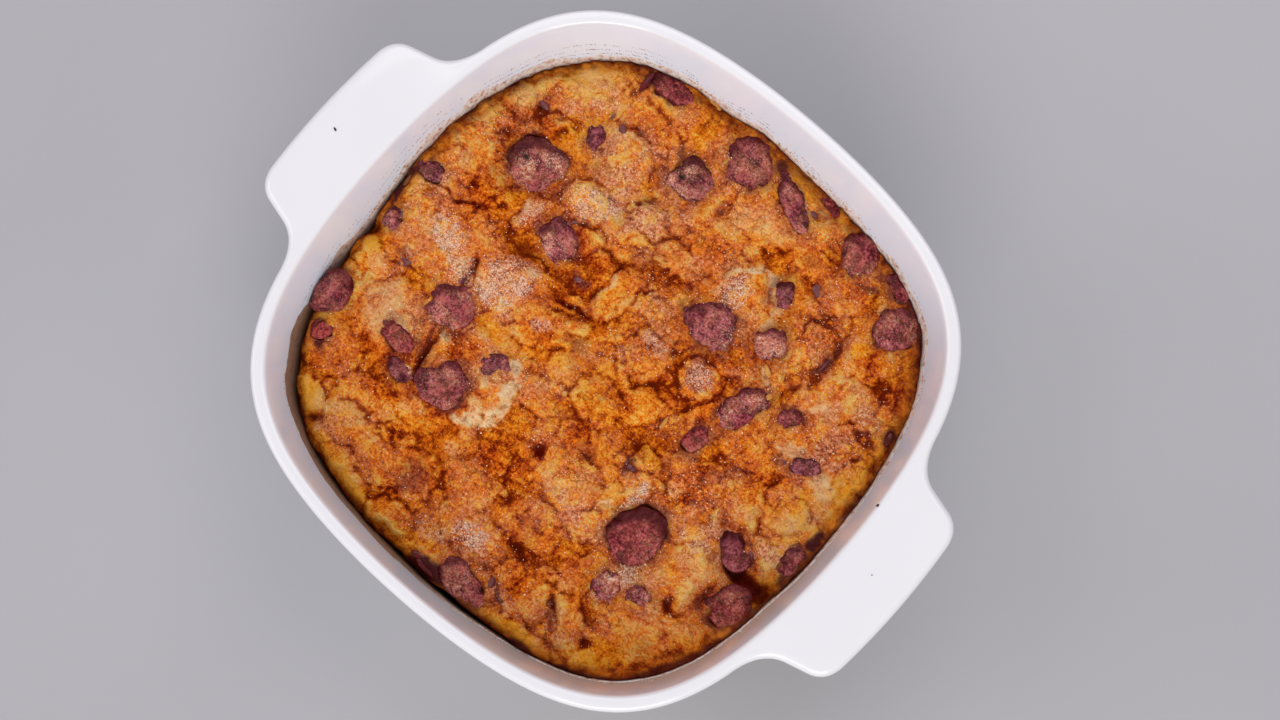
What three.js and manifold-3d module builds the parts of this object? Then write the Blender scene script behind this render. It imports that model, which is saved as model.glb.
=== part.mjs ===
// A cherry bread pudding baked in a square white casserole.
// Millimetres, +Z up. The origin is the centre of the dish's underside, +X runs along its two tabs.
import * as THREE from 'three';
import { mergeVertices } from 'three/addons/utils/BufferGeometryUtils.js';
import Module from 'manifold-3d';

const wasm = await Module();
wasm.setup();

// The dish: driving sizes.
const DISH_HALF_WIDTH = 124;       // rim, centre to the middle of a side
const DISH_HEIGHT = 76;
const OUTLINE_POWER = 2.96;        // superellipse power of the rounded square
const OUTLINE_FLATTENING = 0.0077; // how far the outline dips between sides and corners
const DISH_SEGMENTS = 64;
const RIM_BAND = 5.4;              // width of the flat band round the mouth
const FLOOR_THICKNESS = 6;

// The tabs: half sizes in plan, and their section.
const TAB_REACH = 150;
const TAB_END_HALF_WIDTH = 29;
const TAB_SIDE_HALF_WIDTH = 41.6;
const TAB_ROOT_HALF_WIDTH = 61.4;
const TAB_ROOT_X = 117.6;          // where the sweep from the rim starts
const TAB_SWEEP_PULL = [120.5, 47.5];
const TAB_SWEEP_END = [130, 44.3];
const TAB_SIDE_X = 140;            // where the straight side ends
const TAB_CORNER_PULL = [148.2, 39.3];
const TAB_END_X = 148.7;
const TAB_END_BOW = 14;
const TAB_THICKNESS = 6.4;
const TAB_EDGE_ROUNDING = 2.2;
const TAB_TOP_DROP = 0.15;         // the tabs lie this far below the top of the rim
const TAB_ROOT_DEPTH = 4.4;        // how far the tab is sunk into the rim
const TAB_ROOT_STEPS = [1, 0.6, 0.2, -0.2, -0.6, -1];

// The pudding: driving sizes.
const EDGE_LEVEL = 44;             // top of the pudding beside the wall
const EDGE_HALF_WIDTH = 112;       // inside of the dish at about that level
const CROWN = 7;                   // how much higher it stands in the middle
const TOP_CELLS = 34;              // grid cells along each side of the top
const WALL_GAP = 0.9;
const FLOOR_GAP = 0.6;
const SIDE_STEPS = [0.22, 0.5, 0.8, 0.93, 1]; // rings down the side, as shares of its height
const SHRINK_BEARING = 236;        // side on which the pudding has pulled away from the dish, in degrees
const SHRINK_RANGE = [0.25, 0.7];  // cosines of the bearings where the gap starts and is full
const SHRINK_GAP = 2.3;            // that gap
const SHRINK_DROP = 5.5;           // how far the top rolls over beside it
const EDGE_ROLL = 9;               // width of the rolled edge
const CUSTARD_DIP = 1.6;           // custard between the slices lies this far below the crown
const BLEND = 1.3;                 // sharpness of the creases between slices, per mm
const SLICE_POWER = 2.4;           // squareness of a slice seen from above
const SLICE_FALL = 4;              // how suddenly a slice falls off at its edge
const SLICE_RELIEF = 0.7;          // share of its rise with which a slice stands out of the custard

// Stretches where the pudding has risen up the wall: bearing and half extent in degrees, rise.
const RISEN = [
  [170, 20, 8], [122, 11, 5], [95, 10, 4], [50, 7, 4.5], [222, 20, 3.5], [266, 14, 2.5], [5, 12, 1.5],
];
const RISEN_WIDTH = 26;            // how far in from the wall that reaches

// Slices of soaked bread in the top: centre x, y, length, width, turn in degrees, rise.
const SLICES = [
  [-82, -2, 40, 34, 25, 4.2], [-52, -2, 32, 24, 10, 3.6], [-30, -6, 27, 17, 25, 2.6],
  [-78, -42, 36, 30, -10, 3.2], [-46, -31, 26, 17, -15, 1.8], [-28, -40, 17, 31, -8, 3.4],
  [-98, -33, 15, 24, 20, 3.4], [-103, -25, 9, 10, 0, 4.6], [-86, -68, 24, 22, 30, 3.0],
  [-62, -71, 27, 14, 10, 2.8], [-82, -87, 17, 13, -30, 5.0], [-61, -86, 27, 15, -5, 3.0],
  [-42, -62, 24, 15, 10, 2.6], [-41, -88, 20, 17, 15, 2.6], [-27, -84, 17, 21, 20, 3.0],
  [-61, -98, 24, 11, -18, 2.6], [-44, -103, 17, 9, -5, 3.6], [-24, -102, 21, 11, 5, 2.4],
  [-7, -48, 19, 26, 15, 2.2], [-8, -72, 19, 20, 0, 2.0], [17, -45, 32, 21, -12, 3.0],
  [35, -54, 28, 11, 30, 3.4], [20, -67, 28, 18, 5, 2.6], [4, -86, 31, 16, 5, 3.4],
  [35, -89, 27, 15, -8, 3.0], [56, -88, 13, 22, 40, 4.4], [42, -103, 25, 10, 8, 3.2],
  [72, -87, 25, 18, 30, 3.0], [80, -72, 27, 24, 20, 4.0], [80, -41, 30, 28, 0, 5.0],
  [93, -61, 17, 15, 20, 2.8], [43, -31, 8, 17, 5, 3.8], [73, -28, 15, 9, 10, 2.0],
  [58, -13, 26, 18, 0, 2.4], [77, -8, 19, 27, 25, 5.2], [91, 2, 24, 24, 0, 3.6],
  [104, -4, 11, 24, 0, 3.8], [98, -16, 15, 13, -45, 4.6], [8, -13, 22, 17, -10, 2.8],
  [21, -4, 17, 14, 15, 2.4], [38, -18, 12, 10, 0, 4.0], [-13, -27, 18, 13, -10, 1.8],
  [10, -29, 18, 12, 10, 2.2], [10, 13, 22, 19, 0, 3.4], [32, 20, 17, 17, 10, 4.4],
  [-15, 24, 15, 25, 0, 4.4], [-1, 29, 13, 12, 0, 3.2], [-40, 31, 15, 12, 0, 3.4],
  [-29, 26, 17, 13, 0, 2.8], [-49, 44, 22, 16, 5, 3.6], [-63, 27, 12, 16, 0, 3.4],
  [-50, 66, 26, 28, 10, 4.2], [-84, 72, 31, 16, 25, 2.6], [-80, 87, 26, 15, 38, 3.2],
  [-97, 60, 15, 15, 0, 3.2], [-102, 44, 15, 20, 0, 2.8], [-99, 28, 20, 19, 20, 3.2],
  [-82, 27, 19, 13, 5, 2.8], [-88, 16, 24, 10, 5, 2.2], [-52, 86, 29, 13, -5, 2.6],
  [-42, 99, 14, 18, 10, 3.0], [-31, 100, 13, 20, 0, 2.4], [-26, 54, 15, 14, 20, 4.0],
  [-28, 42, 25, 11, 0, 1.4], [-6, 51, 20, 12, 5, 3.2], [8, 86, 29, 19, 5, 3.0],
  [4, 66, 29, 22, 10, 2.6], [-12, 75, 14, 20, 0, 2.0], [12, 107, 18, 8, -5, 2.8],
  [32, 99, 15, 18, 0, 2.8], [33, 85, 23, 12, 0, 2.4], [54, 85, 20, 19, 0, 2.8],
  [24, 60, 26, 23, -20, 5.0], [57, 60, 14, 18, 0, 4.2], [75, 69, 18, 17, 0, 2.4],
  [86, 77, 20, 16, -30, 3.8], [96, 66, 14, 22, 10, 2.4], [81, 54, 25, 14, 10, 3.0],
  [98, 46, 18, 20, 0, 2.6], [74, 43, 22, 13, 20, 3.0], [52, 39, 15, 9, -40, 3.8],
  [39, 35, 15, 12, 0, 3.0], [84, 33, 30, 17, 5, 3.8], [104, 28, 14, 22, 0, 3.8],
  [95, 15, 24, 15, -10, 2.8], [66, 12, 22, 18, 0, 2.4], [43, 9, 18, 12, 20, 1.6],
];

// Hollows in the top: centre x, y, length, width, turn in degrees, depth.
const HOLLOWS = [
  [99, -28, 17, 8, -8, 7], [-55, 14, 34, 6, 4, 3], [64, 61, 6, 18, 0, 4], [-7, 78, 5, 9, 0, 3],
  [66, -89, 7, 6, 0, 4], [81, -55, 10, 7, 0, 3.5], [49, -88, 4, 15, 42, 4], [-74, -92, 6, 6, 0, 4],
  [-58, -44, 4, 22, 18, 4], [-66, -8, 4, 14, 15, 4], [-26, 8, 16, 5, 10, 3.5], [3, -43, 6, 7, 0, 3],
  [-108, -20, 7, 9, 0, 6], [-104, -70, 8, 16, 30, 7], [22, -78, 11, 4, -20, 2.5],
  [91, -28, 10, 6, -20, 4],
];

// Cherries: centre x, y, length, width, turn in degrees, thickness, rise above the bread, pit width.
const CHERRIES = [
  [-54.6, 101.6, 19.5, 10.8, 3, 12, 3.0, 0.5], [-11.7, 100.4, 22, 20, 131, 18, 3.8, 0.6],
  [-25, 79.3, 18.5, 17, 80, 16, 0.6, 1.6], [-65, 67, 12, 8, -62, 9, 0.4, 0.8],
  [-75.8, 43, 23.5, 22.5, 0, 18, 1.2, 2.0], [-47.5, 25, 18, 15, -20, 14, 2.2, 0.8],
  [-105, 12.5, 12, 8, 15, 9, 1.6, 0.5], [-104, -12, 10, 7, 100, 8, 1.0, 0.5],
  [-62, -23, 19.5, 18.5, 20, 16, 1.0, 0.9], [-102.2, -50.5, 19, 16, 100, 17, 9.6, 0.5],
  [-94.6, -64.5, 9, 7.5, 60, 8, 2.0, 0.5], [-69.4, -46.8, 14.5, 8.5, -12, 9, 1.4, 0.6],
  [-60, -56.4, 12, 9.5, -20, 10, 1.6, 0.6], [-43.5, -49, 21, 19, 60, 17, 2.4, 0.9],
  [-33, -29.5, 12, 8, 48, 8, 0.8, 0.6], [12.6, 99.2, 26.5, 9.5, -32, 11, 1.8, 0.6],
  [24.2, 108.6, 9.5, 6, -6, 7, 2, 0.5], [46.5, 101.4, 20, 17.6, 131, 16, 4.2, 0.5],
  [77, 87, 21.5, 17.6, 41, 17, 4, 0.5], [67.4, 99.6, 15, 6.8, -27, 8, 2.6, 0.5],
  [34.5, 68.5, 12, 9, -50, 10, 0.6, 1.0], [20.5, 39.5, 25, 18.5, 5, 16, 2.4, 0.6],
  [43.5, 49, 16, 14.5, 60, 13, 1.8, 0.6], [52, 23.3, 22, 13.5, 76, 14, 2.4, 0.7],
  [68.6, 31.5, 10.5, 8, 60, 9, 0.2, 0.8], [86, 21.5, 13, 8, 30, 9, 0.6, 0.8],
  [46, 1, 11, 8.5, 70, 9, 0.8, 0.6], [54, -43.5, 25, 24, 90, 18, 0.2, 2.2],
  [70.4, -61, 11, 9, 30, 9, 1.6, 0.6], [58, -65.5, 15, 11, 100, 11, 1.8, 0.6],
  [86.5, -22, 17, 12, -35, 13, -1.0, 1.0], [99, -39.5, 18, 16, 80, 15, 0.0, 0.6],
  [106.3, -10, 13.5, 8, 95, 11, 0.6, 0.5], [14.3, -102.2, 25, 13, -8, 13, 2.8, 0.6],
];
const LARGE_CHERRY = 17;           // cherries longer than this get more sides
const LARGE_CHERRY_SIDES = 12;
const SMALL_CHERRY_SIDES = 8;
const CHERRY_STEPS = 5;            // steps of latitude from bottom to top
const CHERRY_ROUNDNESS = 0.8;      // 1 is a ball, less is fuller
const CHERRY_LOBES = [[2, 0.045, 1.7], [3, 0.035, 2.9]]; // waves round the outline, depth, phase of each number
const CHERRY_GAP = 0.35;           // clearance between a cherry and the bread
const CHERRY_WALL_GAP = 0.55;       // clearance between a cherry and the dish
const CHERRY_CLEARING = 12;        // how far a pit is cleared above its cherry
const PIT_EASE = 0.2;              // extra clearance at a cherry's widest ring
const PLAIN_PIT = 0.5;             // a pit of this width is upright
const PIT_LEAN = new THREE.Vector2(-0.66, 0.75);

const GLAZE = { color: 0xeeeef2, roughness: 0.16, metalness: 0 };
const CRUST = { color: 0xc57a33, roughness: 0.62, metalness: 0 };
const CHERRY_SKIN = { color: 0x6b2a2b, roughness: 0.5, metalness: 0 };

const radians = THREE.MathUtils.degToRad;
const smoothstep = THREE.MathUtils.smoothstep;

/** Distance from the centre to the rounded square's outline, 1 in the middle of a side. */
function outline(angle) {
  const across = Math.abs(Math.cos(angle)) ** OUTLINE_POWER;
  const along = Math.abs(Math.sin(angle)) ** OUTLINE_POWER;
  const flattening = OUTLINE_FLATTENING * (1 - Math.cos(8 * angle)) / 2;
  return (1 - flattening) / (across + along) ** (1 / OUTLINE_POWER);
}

/** Closed surface through rings of equal count, from the bottom outside to the last ring, with fans on both ends. */
function loft(rings, start, end) {
  const count = rings[0].length;
  const points = [start, ...rings.flat(), end];
  const last = points.length - 1;
  const faces = [];
  for (let i = 0; i < count; i++) {
    const next = (i + 1) % count;
    faces.push(0, 1 + next, 1 + i);
    for (let ring = 0; ring + 1 < rings.length; ring++) {
      const a = 1 + ring * count;
      const b = a + count;
      faces.push(a + i, a + next, b + next, a + i, b + next, b + i);
    }
    const top = 1 + (rings.length - 1) * count;
    faces.push(top + i, top + next, last);
  }
  return surface(points, faces);
}

/** Geometry from points and triangle corners. */
function surface(points, faces) {
  const geometry = new THREE.BufferGeometry().setFromPoints(points);
  geometry.setIndex(faces);
  return geometry;
}

/** Solid of a closed geometry. */
function solid(geometry) {
  geometry.deleteAttribute('normal');
  geometry.deleteAttribute('uv');
  const merged = mergeVertices(geometry);
  return new wasm.Manifold(new wasm.Mesh({
    numProp: 3,
    vertProperties: new Float32Array(merged.attributes.position.array),
    triVerts: new Uint32Array(merged.index.array),
  }));
}

/** Named mesh of a solid, without loose scraps. */
function piece(name, shape, finish) {
  const [largest] = shape.decompose().sort((a, b) => b.volume() - a.volume());
  const { vertProperties, triVerts } = largest.getMesh();
  const geometry = new THREE.BufferGeometry();
  geometry.setAttribute('position', new THREE.BufferAttribute(vertProperties, 3));
  geometry.setIndex(new THREE.BufferAttribute(triVerts, 1));
  geometry.computeVertexNormals();
  const mesh = new THREE.Mesh(geometry, new THREE.MeshStandardMaterial(finish));
  mesh.name = name;
  return mesh;
}

// Section of the dish wall from the foot, over the rim and down to the floor: half-width, height.
const INNER_WALL = [
  [DISH_HALF_WIDTH - RIM_BAND - 0.4, DISH_HEIGHT - 2.4],
  [112.2, 44],
  [108.2, 24],
  [105.6, 14.5],
  [100.5, 8.6],
  [92, FLOOR_THICKNESS],
];
const OUTER_WALL = [
  [97, 0],
  [101, 0.9],
  [106, 4.4],
  [110, 10.4],
  [112.4, 18],
  [121, DISH_HEIGHT - 12],
  [122.3, DISH_HEIGHT - 7.5],
  [123.7, DISH_HEIGHT - 5],
  [DISH_HALF_WIDTH, DISH_HEIGHT - 3],
  [DISH_HALF_WIDTH - 0.6, DISH_HEIGHT - 1],
  [DISH_HALF_WIDTH - 1.8, DISH_HEIGHT],
  [DISH_HALF_WIDTH - 4.1, DISH_HEIGHT],
  [DISH_HALF_WIDTH - RIM_BAND + 0.3, DISH_HEIGHT - 0.8],
];

/** Half-width of the dish's inside at a height. */
function innerHalfWidth(height) {
  const below = INNER_WALL.findIndex(([, level]) => level <= height);
  const low = INNER_WALL[below < 0 ? INNER_WALL.length - 1 : Math.max(below, 1)];
  const high = INNER_WALL[(below < 0 ? INNER_WALL.length - 1 : Math.max(below, 1)) - 1];
  return THREE.MathUtils.mapLinear(height, low[1], high[1], low[0], high[0]);
}

/** One level ring of the dish, at a half-width and a height. */
function dishRing([halfWidth, height]) {
  return Array.from({ length: DISH_SEGMENTS }, (_, i) => {
    const angle = i / DISH_SEGMENTS * 2 * Math.PI;
    const radius = halfWidth * outline(angle);
    return new THREE.Vector3(radius * Math.cos(angle), radius * Math.sin(angle), height);
  });
}

/** Flat tab on the +X side, with a concave sweep into the rim and rounded edges. */
function tabGeometry() {
  const shape = new THREE.Shape();
  const [sweepX, sweepY] = TAB_SWEEP_PULL;
  const [straightX, straightY] = TAB_SWEEP_END;
  const [cornerX, cornerY] = TAB_CORNER_PULL;
  shape.moveTo(TAB_ROOT_X, -TAB_ROOT_HALF_WIDTH);
  shape.quadraticCurveTo(sweepX, -sweepY, straightX, -straightY);
  shape.lineTo(TAB_SIDE_X, -TAB_SIDE_HALF_WIDTH);
  shape.quadraticCurveTo(cornerX, -cornerY, TAB_END_X, -TAB_END_HALF_WIDTH);
  shape.quadraticCurveTo(TAB_REACH, -TAB_END_BOW, TAB_REACH, 0);
  shape.quadraticCurveTo(TAB_REACH, TAB_END_BOW, TAB_END_X, TAB_END_HALF_WIDTH);
  shape.quadraticCurveTo(cornerX, cornerY, TAB_SIDE_X, TAB_SIDE_HALF_WIDTH);
  shape.lineTo(straightX, straightY);
  shape.quadraticCurveTo(sweepX, sweepY, TAB_ROOT_X, TAB_ROOT_HALF_WIDTH);
  const rootEnd = Math.atan2(TAB_ROOT_HALF_WIDTH - 1, TAB_ROOT_X - TAB_ROOT_DEPTH);
  for (const share of TAB_ROOT_STEPS) {
    const angle = share * rootEnd;
    const radius = (DISH_HALF_WIDTH - TAB_ROOT_DEPTH) * outline(angle);
    shape.lineTo(radius * Math.cos(angle), radius * Math.sin(angle));
  }
  const geometry = new THREE.ExtrudeGeometry(shape, {
    depth: TAB_THICKNESS - 2 * TAB_EDGE_ROUNDING,
    bevelSize: TAB_EDGE_ROUNDING,
    bevelThickness: TAB_EDGE_ROUNDING,
    bevelOffset: -TAB_EDGE_ROUNDING,
    bevelSegments: 2,
    curveSegments: 4,
  });
  return geometry.translate(0, 0, DISH_HEIGHT - TAB_TOP_DROP - TAB_THICKNESS + TAB_EDGE_ROUNDING);
}

/** The casserole: bowl and two tabs in one piece. */
function makeDish() {
  const rings = [...OUTER_WALL, ...INNER_WALL].map(dishRing);
  const bowl = solid(loft(rings, new THREE.Vector3(0, 0, 0), new THREE.Vector3(0, 0, FLOOR_THICKNESS)));
  const front = solid(tabGeometry());
  const back = solid(tabGeometry().rotateZ(Math.PI));
  return bowl.add(front).add(back);
}

/** Distance of a point from the middle of a turned oval, 1 on the oval's edge. */
function ovalDistance(x, y, [centreX, centreY, length, width, turn], power = 2) {
  const c = Math.cos(radians(turn));
  const s = Math.sin(radians(turn));
  const along = ((x - centreX) * c + (y - centreY) * s) / (length / 2);
  const across = ((y - centreY) * c - (x - centreX) * s) / (width / 2);
  return (Math.abs(along) ** power + Math.abs(across) ** power) ** (1 / power);
}

/** 1 on the sides where the pudding has shrunk from the dish, 0 where it still touches. */
function shrunk(angle) {
  const towards = Math.cos(angle - radians(SHRINK_BEARING));
  return smoothstep(towards, ...SHRINK_RANGE);
}

/** How far the edge of the pudding stands above its usual level at an angle. */
function edgeRise(angle) {
  return RISEN.reduce((total, [middle, extent, rise]) => {
    const away = (THREE.MathUtils.radToDeg(angle) - middle + 900) % 360 - 180;
    return total + rise * Math.exp(-((away / extent) ** 2));
  }, 0);
}

/** Height of the bread over a point of the dish. */
function breadLevel(x, y) {
  const angle = Math.atan2(y, x);
  const edgeDistance = EDGE_HALF_WIDTH * outline(angle) - Math.hypot(x, y);
  const share = 1 - Math.max(edgeDistance, 0) / EDGE_HALF_WIDTH;
  let total = Math.exp(-BLEND * CUSTARD_DIP);
  for (const slice of SLICES) {
    const distance = ovalDistance(x, y, slice, SLICE_POWER);
    if (distance < 2) {
      total += Math.exp(BLEND * slice[5] * (1 - distance ** SLICE_FALL));
    }
  }
  const risen = edgeRise(angle) * smoothstep(RISEN_WIDTH - edgeDistance, 0, RISEN_WIDTH);
  let level = EDGE_LEVEL + CROWN * (1 - share ** 2) + risen + SLICE_RELIEF * Math.log(total) / BLEND;
  for (const hollow of HOLLOWS) {
    level -= hollow[5] * Math.exp(-(ovalDistance(x, y, hollow) ** 2));
  }
  return level - SHRINK_DROP * shrunk(angle) * smoothstep(EDGE_ROLL - edgeDistance, 0, EDGE_ROLL) ** 2;
}

/** Gap between the top edge of the pudding and the wall at an angle. */
function edgeGap(angle) {
  return THREE.MathUtils.lerp(WALL_GAP, SHRINK_GAP, shrunk(angle));
}

/** Place of a grid corner of the top, u and v from -1 to 1. */
function topPoint(u, v) {
  const angle = Math.atan2(v, u);
  const square = Math.max(Math.abs(u), Math.abs(v));
  const gap = edgeGap(angle);
  const edge = EDGE_HALF_WIDTH * outline(angle) - gap;
  const edgeLevel = breadLevel(edge * Math.cos(angle), edge * Math.sin(angle));
  const radius = square * (innerHalfWidth(edgeLevel) - gap) * outline(angle);
  const x = radius * Math.cos(angle);
  const y = radius * Math.sin(angle);
  return new THREE.Vector3(x, y, square < 1 ? breadLevel(x, y) : edgeLevel);
}

/** The pudding before the cherries: uneven top, sides along the dish, flat bottom. */
function makeBread() {
  const points = [];
  const faces = [];
  const stride = TOP_CELLS + 1;
  for (let row = 0; row <= TOP_CELLS; row++) {
    for (let column = 0; column <= TOP_CELLS; column++) {
      points.push(topPoint(2 * column / TOP_CELLS - 1, 2 * row / TOP_CELLS - 1));
    }
  }
  for (let row = 0; row < TOP_CELLS; row++) {
    for (let column = 0; column < TOP_CELLS; column++) {
      const a = row * stride + column;
      const b = a + stride;
      faces.push(a, a + 1, b + 1, a, b + 1, b);
    }
  }
  // The edge of the grid, anticlockwise seen from above.
  let ring = [];
  for (let i = 0; i < TOP_CELLS; i++) {
    ring.push(i, i * stride + TOP_CELLS, TOP_CELLS * stride + TOP_CELLS - i, (TOP_CELLS - i) * stride);
  }
  ring.sort((a, b) => bearing(points[a]) - bearing(points[b]));
  const rim = ring.map((index) => points[index]);
  for (const share of SIDE_STEPS) {
    const next = rim.map((top) => sidePoint(top, share));
    const first = points.length;
    points.push(...next);
    const lower = next.map((_, i) => first + i);
    ring.forEach((upper, i) => {
      const after = (i + 1) % ring.length;
      faces.push(upper, lower[i], lower[after], upper, lower[after], ring[after]);
    });
    ring = lower;
  }
  const middle = points.push(new THREE.Vector3(0, 0, FLOOR_THICKNESS + FLOOR_GAP)) - 1;
  ring.forEach((index, i) => faces.push(middle, ring[(i + 1) % ring.length], index));
  return solid(surface(points, faces));
}

/** Bearing of a point round the dish, from 0 to a full turn. */
function bearing({ x, y }) {
  return (Math.atan2(y, x) + 2 * Math.PI) % (2 * Math.PI);
}

/** Point on the pudding's side, a share of the way down from its top edge to its bottom. */
function sidePoint(top, share) {
  const angle = bearing(top);
  const height = THREE.MathUtils.lerp(top.z, FLOOR_THICKNESS + FLOOR_GAP, share);
  const gap = THREE.MathUtils.lerp(edgeGap(angle), WALL_GAP, Math.min(share * 2, 1));
  const radius = (innerHalfWidth(height) - gap) * outline(angle);
  return new THREE.Vector3(radius * Math.cos(angle), radius * Math.sin(angle), height);
}

/** Uneven outline of a cherry seen from above: 1 on average, different for each number. */
function unevenness(angle, number) {
  return CHERRY_LOBES.reduce((sum, [waves, depth, phase]) => sum + depth * Math.sin(waves * angle + phase * number), 1);
}

/** Point of a cherry, grown by a clearance. The latitude runs from -90 at the bottom to 90 on top. */
function cherryPoint(cherry, number, level, latitude, longitude, growth) {
  const [x, y, length, width, turn, thickness, rise] = cherry;
  const spread = Math.cos(radians(latitude)) ** CHERRY_ROUNDNESS * unevenness(longitude, number);
  const along = (length / 2 + growth) * spread * Math.cos(longitude);
  const across = (width / 2 + growth) * spread * Math.sin(longitude);
  const c = Math.cos(radians(turn));
  const s = Math.sin(radians(turn));
  const centre = level + rise - thickness / 2;
  const height = centre + (thickness / 2 + growth) * Math.sin(radians(latitude));
  return new THREE.Vector3(x + along * c - across * s, y + along * s + across * c, height);
}

/** Ring of a cherry at a latitude. */
function cherryRing(cherry, number, level, latitude, growth) {
  const sides = cherry[2] > LARGE_CHERRY ? LARGE_CHERRY_SIDES : SMALL_CHERRY_SIDES;
  return Array.from({ length: sides }, (_, i) => {
    const longitude = i / sides * 2 * Math.PI;
    return cherryPoint(cherry, number, level, latitude, longitude, growth);
  });
}

/** The point itself, or the nearest one on the same height and bearing that clears the dish's wall. */
function clearOfWall(point) {
  const limit = (innerHalfWidth(point.z) - CHERRY_WALL_GAP) * outline(Math.atan2(point.y, point.x));
  const share = Math.min(1, limit / Math.hypot(point.x, point.y));
  return new THREE.Vector3(point.x * share, point.y * share, point.z);
}

/** The cherry itself, pressed flat where it lies against the wall. */
function makeCherry(cherry, number, level) {
  const rings = [];
  for (let step = 1; step < CHERRY_STEPS; step++) {
    rings.push(cherryRing(cherry, number, level, 180 * step / CHERRY_STEPS - 90, 0).map(clearOfWall));
  }
  const bottom = clearOfWall(cherryPoint(cherry, number, level, -90, 0, 0));
  const top = clearOfWall(cherryPoint(cherry, number, level, 90, 0, 0));
  return solid(loft(rings, bottom, top));
}

/** What is cut from the bread for a cherry: its lower half grown by the gap, open upwards in a wider pit. */
function makePit(cherry, number, level) {
  const lean = PIT_LEAN.clone().multiplyScalar(cherry[7] - PLAIN_PIT);
  const rings = [];
  for (let step = 1; step <= CHERRY_STEPS / 2; step++) {
    rings.push(cherryRing(cherry, number, level, 180 * step / CHERRY_STEPS - 90, CHERRY_GAP));
  }
  rings.push(cherryRing(cherry, number, level, 0, CHERRY_GAP + PIT_EASE));
  const mouth = cherryRing(cherry, number, level, 0, cherry[7]);
  rings.push(mouth.map((point) => point.setZ(level + CHERRY_CLEARING).add(new THREE.Vector3(lean.x, lean.y, 0))));
  const bottom = cherryPoint(cherry, number, level, -90, 0, CHERRY_GAP);
  return solid(loft(rings, bottom, new THREE.Vector3(cherry[0], cherry[1], level + CHERRY_CLEARING)));
}

const pudding = new THREE.Group();
pudding.add(piece('baking_dish', makeDish(), GLAZE));

let bread = makeBread();
CHERRIES.forEach((cherry, index) => {
  const level = breadLevel(cherry[0], cherry[1]);
  bread = bread.subtract(makePit(cherry, index, level));
  const name = `cherry_${String(index + 1).padStart(2, '0')}`;
  pudding.add(piece(name, makeCherry(cherry, index, level), CHERRY_SKIN));
});
pudding.add(piece('bread_pudding', bread, CRUST));

export default pudding;
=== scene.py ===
"""The finish of a cherry bread pudding in its square white casserole."""
import math
from collections import namedtuple

import bpy
import numpy as np
from mathutils import Matrix, Vector


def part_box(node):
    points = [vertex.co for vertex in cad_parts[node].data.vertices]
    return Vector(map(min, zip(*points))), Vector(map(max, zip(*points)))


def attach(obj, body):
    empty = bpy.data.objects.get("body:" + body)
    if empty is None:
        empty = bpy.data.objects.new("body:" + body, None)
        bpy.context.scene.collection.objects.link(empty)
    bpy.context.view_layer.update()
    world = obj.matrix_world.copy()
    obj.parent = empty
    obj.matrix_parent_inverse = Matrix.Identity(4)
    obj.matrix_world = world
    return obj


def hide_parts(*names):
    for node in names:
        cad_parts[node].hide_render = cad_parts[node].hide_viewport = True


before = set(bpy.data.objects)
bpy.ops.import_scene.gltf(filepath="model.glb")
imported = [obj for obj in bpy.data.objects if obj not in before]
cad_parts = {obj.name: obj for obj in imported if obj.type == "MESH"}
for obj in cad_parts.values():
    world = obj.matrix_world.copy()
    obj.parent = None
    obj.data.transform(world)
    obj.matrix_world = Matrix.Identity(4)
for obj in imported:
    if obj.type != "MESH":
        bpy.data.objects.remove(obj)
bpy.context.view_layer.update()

MM = 0.001

# ------------------------------------------------------------------ casserole
# The dish is white glazed stoneware, slip cast in one piece with its two flat tabs. Its plan is a
# rounded square, the rim is a soft flat band, and the underside is left bare where it stood in the kiln.
RIM_HALF = 124.0           # centre to the outside of the rim, middle of a side
RIM_TOP = 76.0
RIM_ROLL, RIM_LIFT = 1.8, 3.0     # half-width and half-height of the rim's rounded edge
TAB_ROLL, TAB_LIFT = 2.6, 3.1
TAB_TOP = RIM_TOP - 0.15
TAB_THICKNESS = 6.4
TAB_BLEND = 5.0            # width over which the rim's edge turns into a tab's
TAB_FILLET = 0.25          # share of the way out under a tab that its fillet takes
WALL_HALF, WALL_TOP = 121.6, 66.0
INSIDE_HALF = 118.4
FLOOR_TOP = 6.0
OUTLINE_POWER = 2.96
OUTLINE_FLATTENING = 0.0077
FOOT_RING = (84, 99)       # unglazed ring that stood in the kiln
SCUFF_LEVEL, SCUFF_BEARING = 67.5, 165
GLOW_BEARING = 325         # side on which the pudding's reflection is painted into the glaze
OUTER_PROFILE = [
    (60, 0), (88, 0), (97, 0), (99.2, 0.25), (101, 0.9), (103.8, 2.4), (106, 4.4), (108.3, 7.2), (110, 10.4),
    (111.4, 14.2), (112.4, 18), (115.2, 33), (118.1, 48.5), (120.6, 62),
]
INNER_PROFILE = [
    (121.2, 76), (120.2, 76), (119.4, 75.82), (118.9, 75.4), (118.5, 74.7), (118.2, 73.6), (117.6, 70.6),
    (116.9, 67.2), (116, 62.8), (115, 57.8), (114, 53), (113.1, 48.5), (112.2, 44), (110.2, 34), (108.2, 24),
    (107.2, 19), (105.6, 14.5), (103.4, 11.2), (100.5, 8.6), (96.5, 6.8), (92, 6), (60, 6),
]


def super_distance(along, across, power):
    """Distance from the middle of a squarish oval: (|along|^power + |across|^power)^(1 / power)."""
    return (np.abs(along) ** power + np.abs(across) ** power) ** (1 / power)


def rise_between(value, low, high):
    """0 below low, 1 above high, and a smooth climb between."""
    t = np.clip((value - low) / (high - low), 0, 1)
    return t * t * (3 - 2 * t)


def facing(angle, bearing):
    """1 towards a bearing in degrees, 0 beside it and -1 away from it: the cosine of the angle between."""
    return np.cos(angle - math.radians(bearing))


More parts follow.
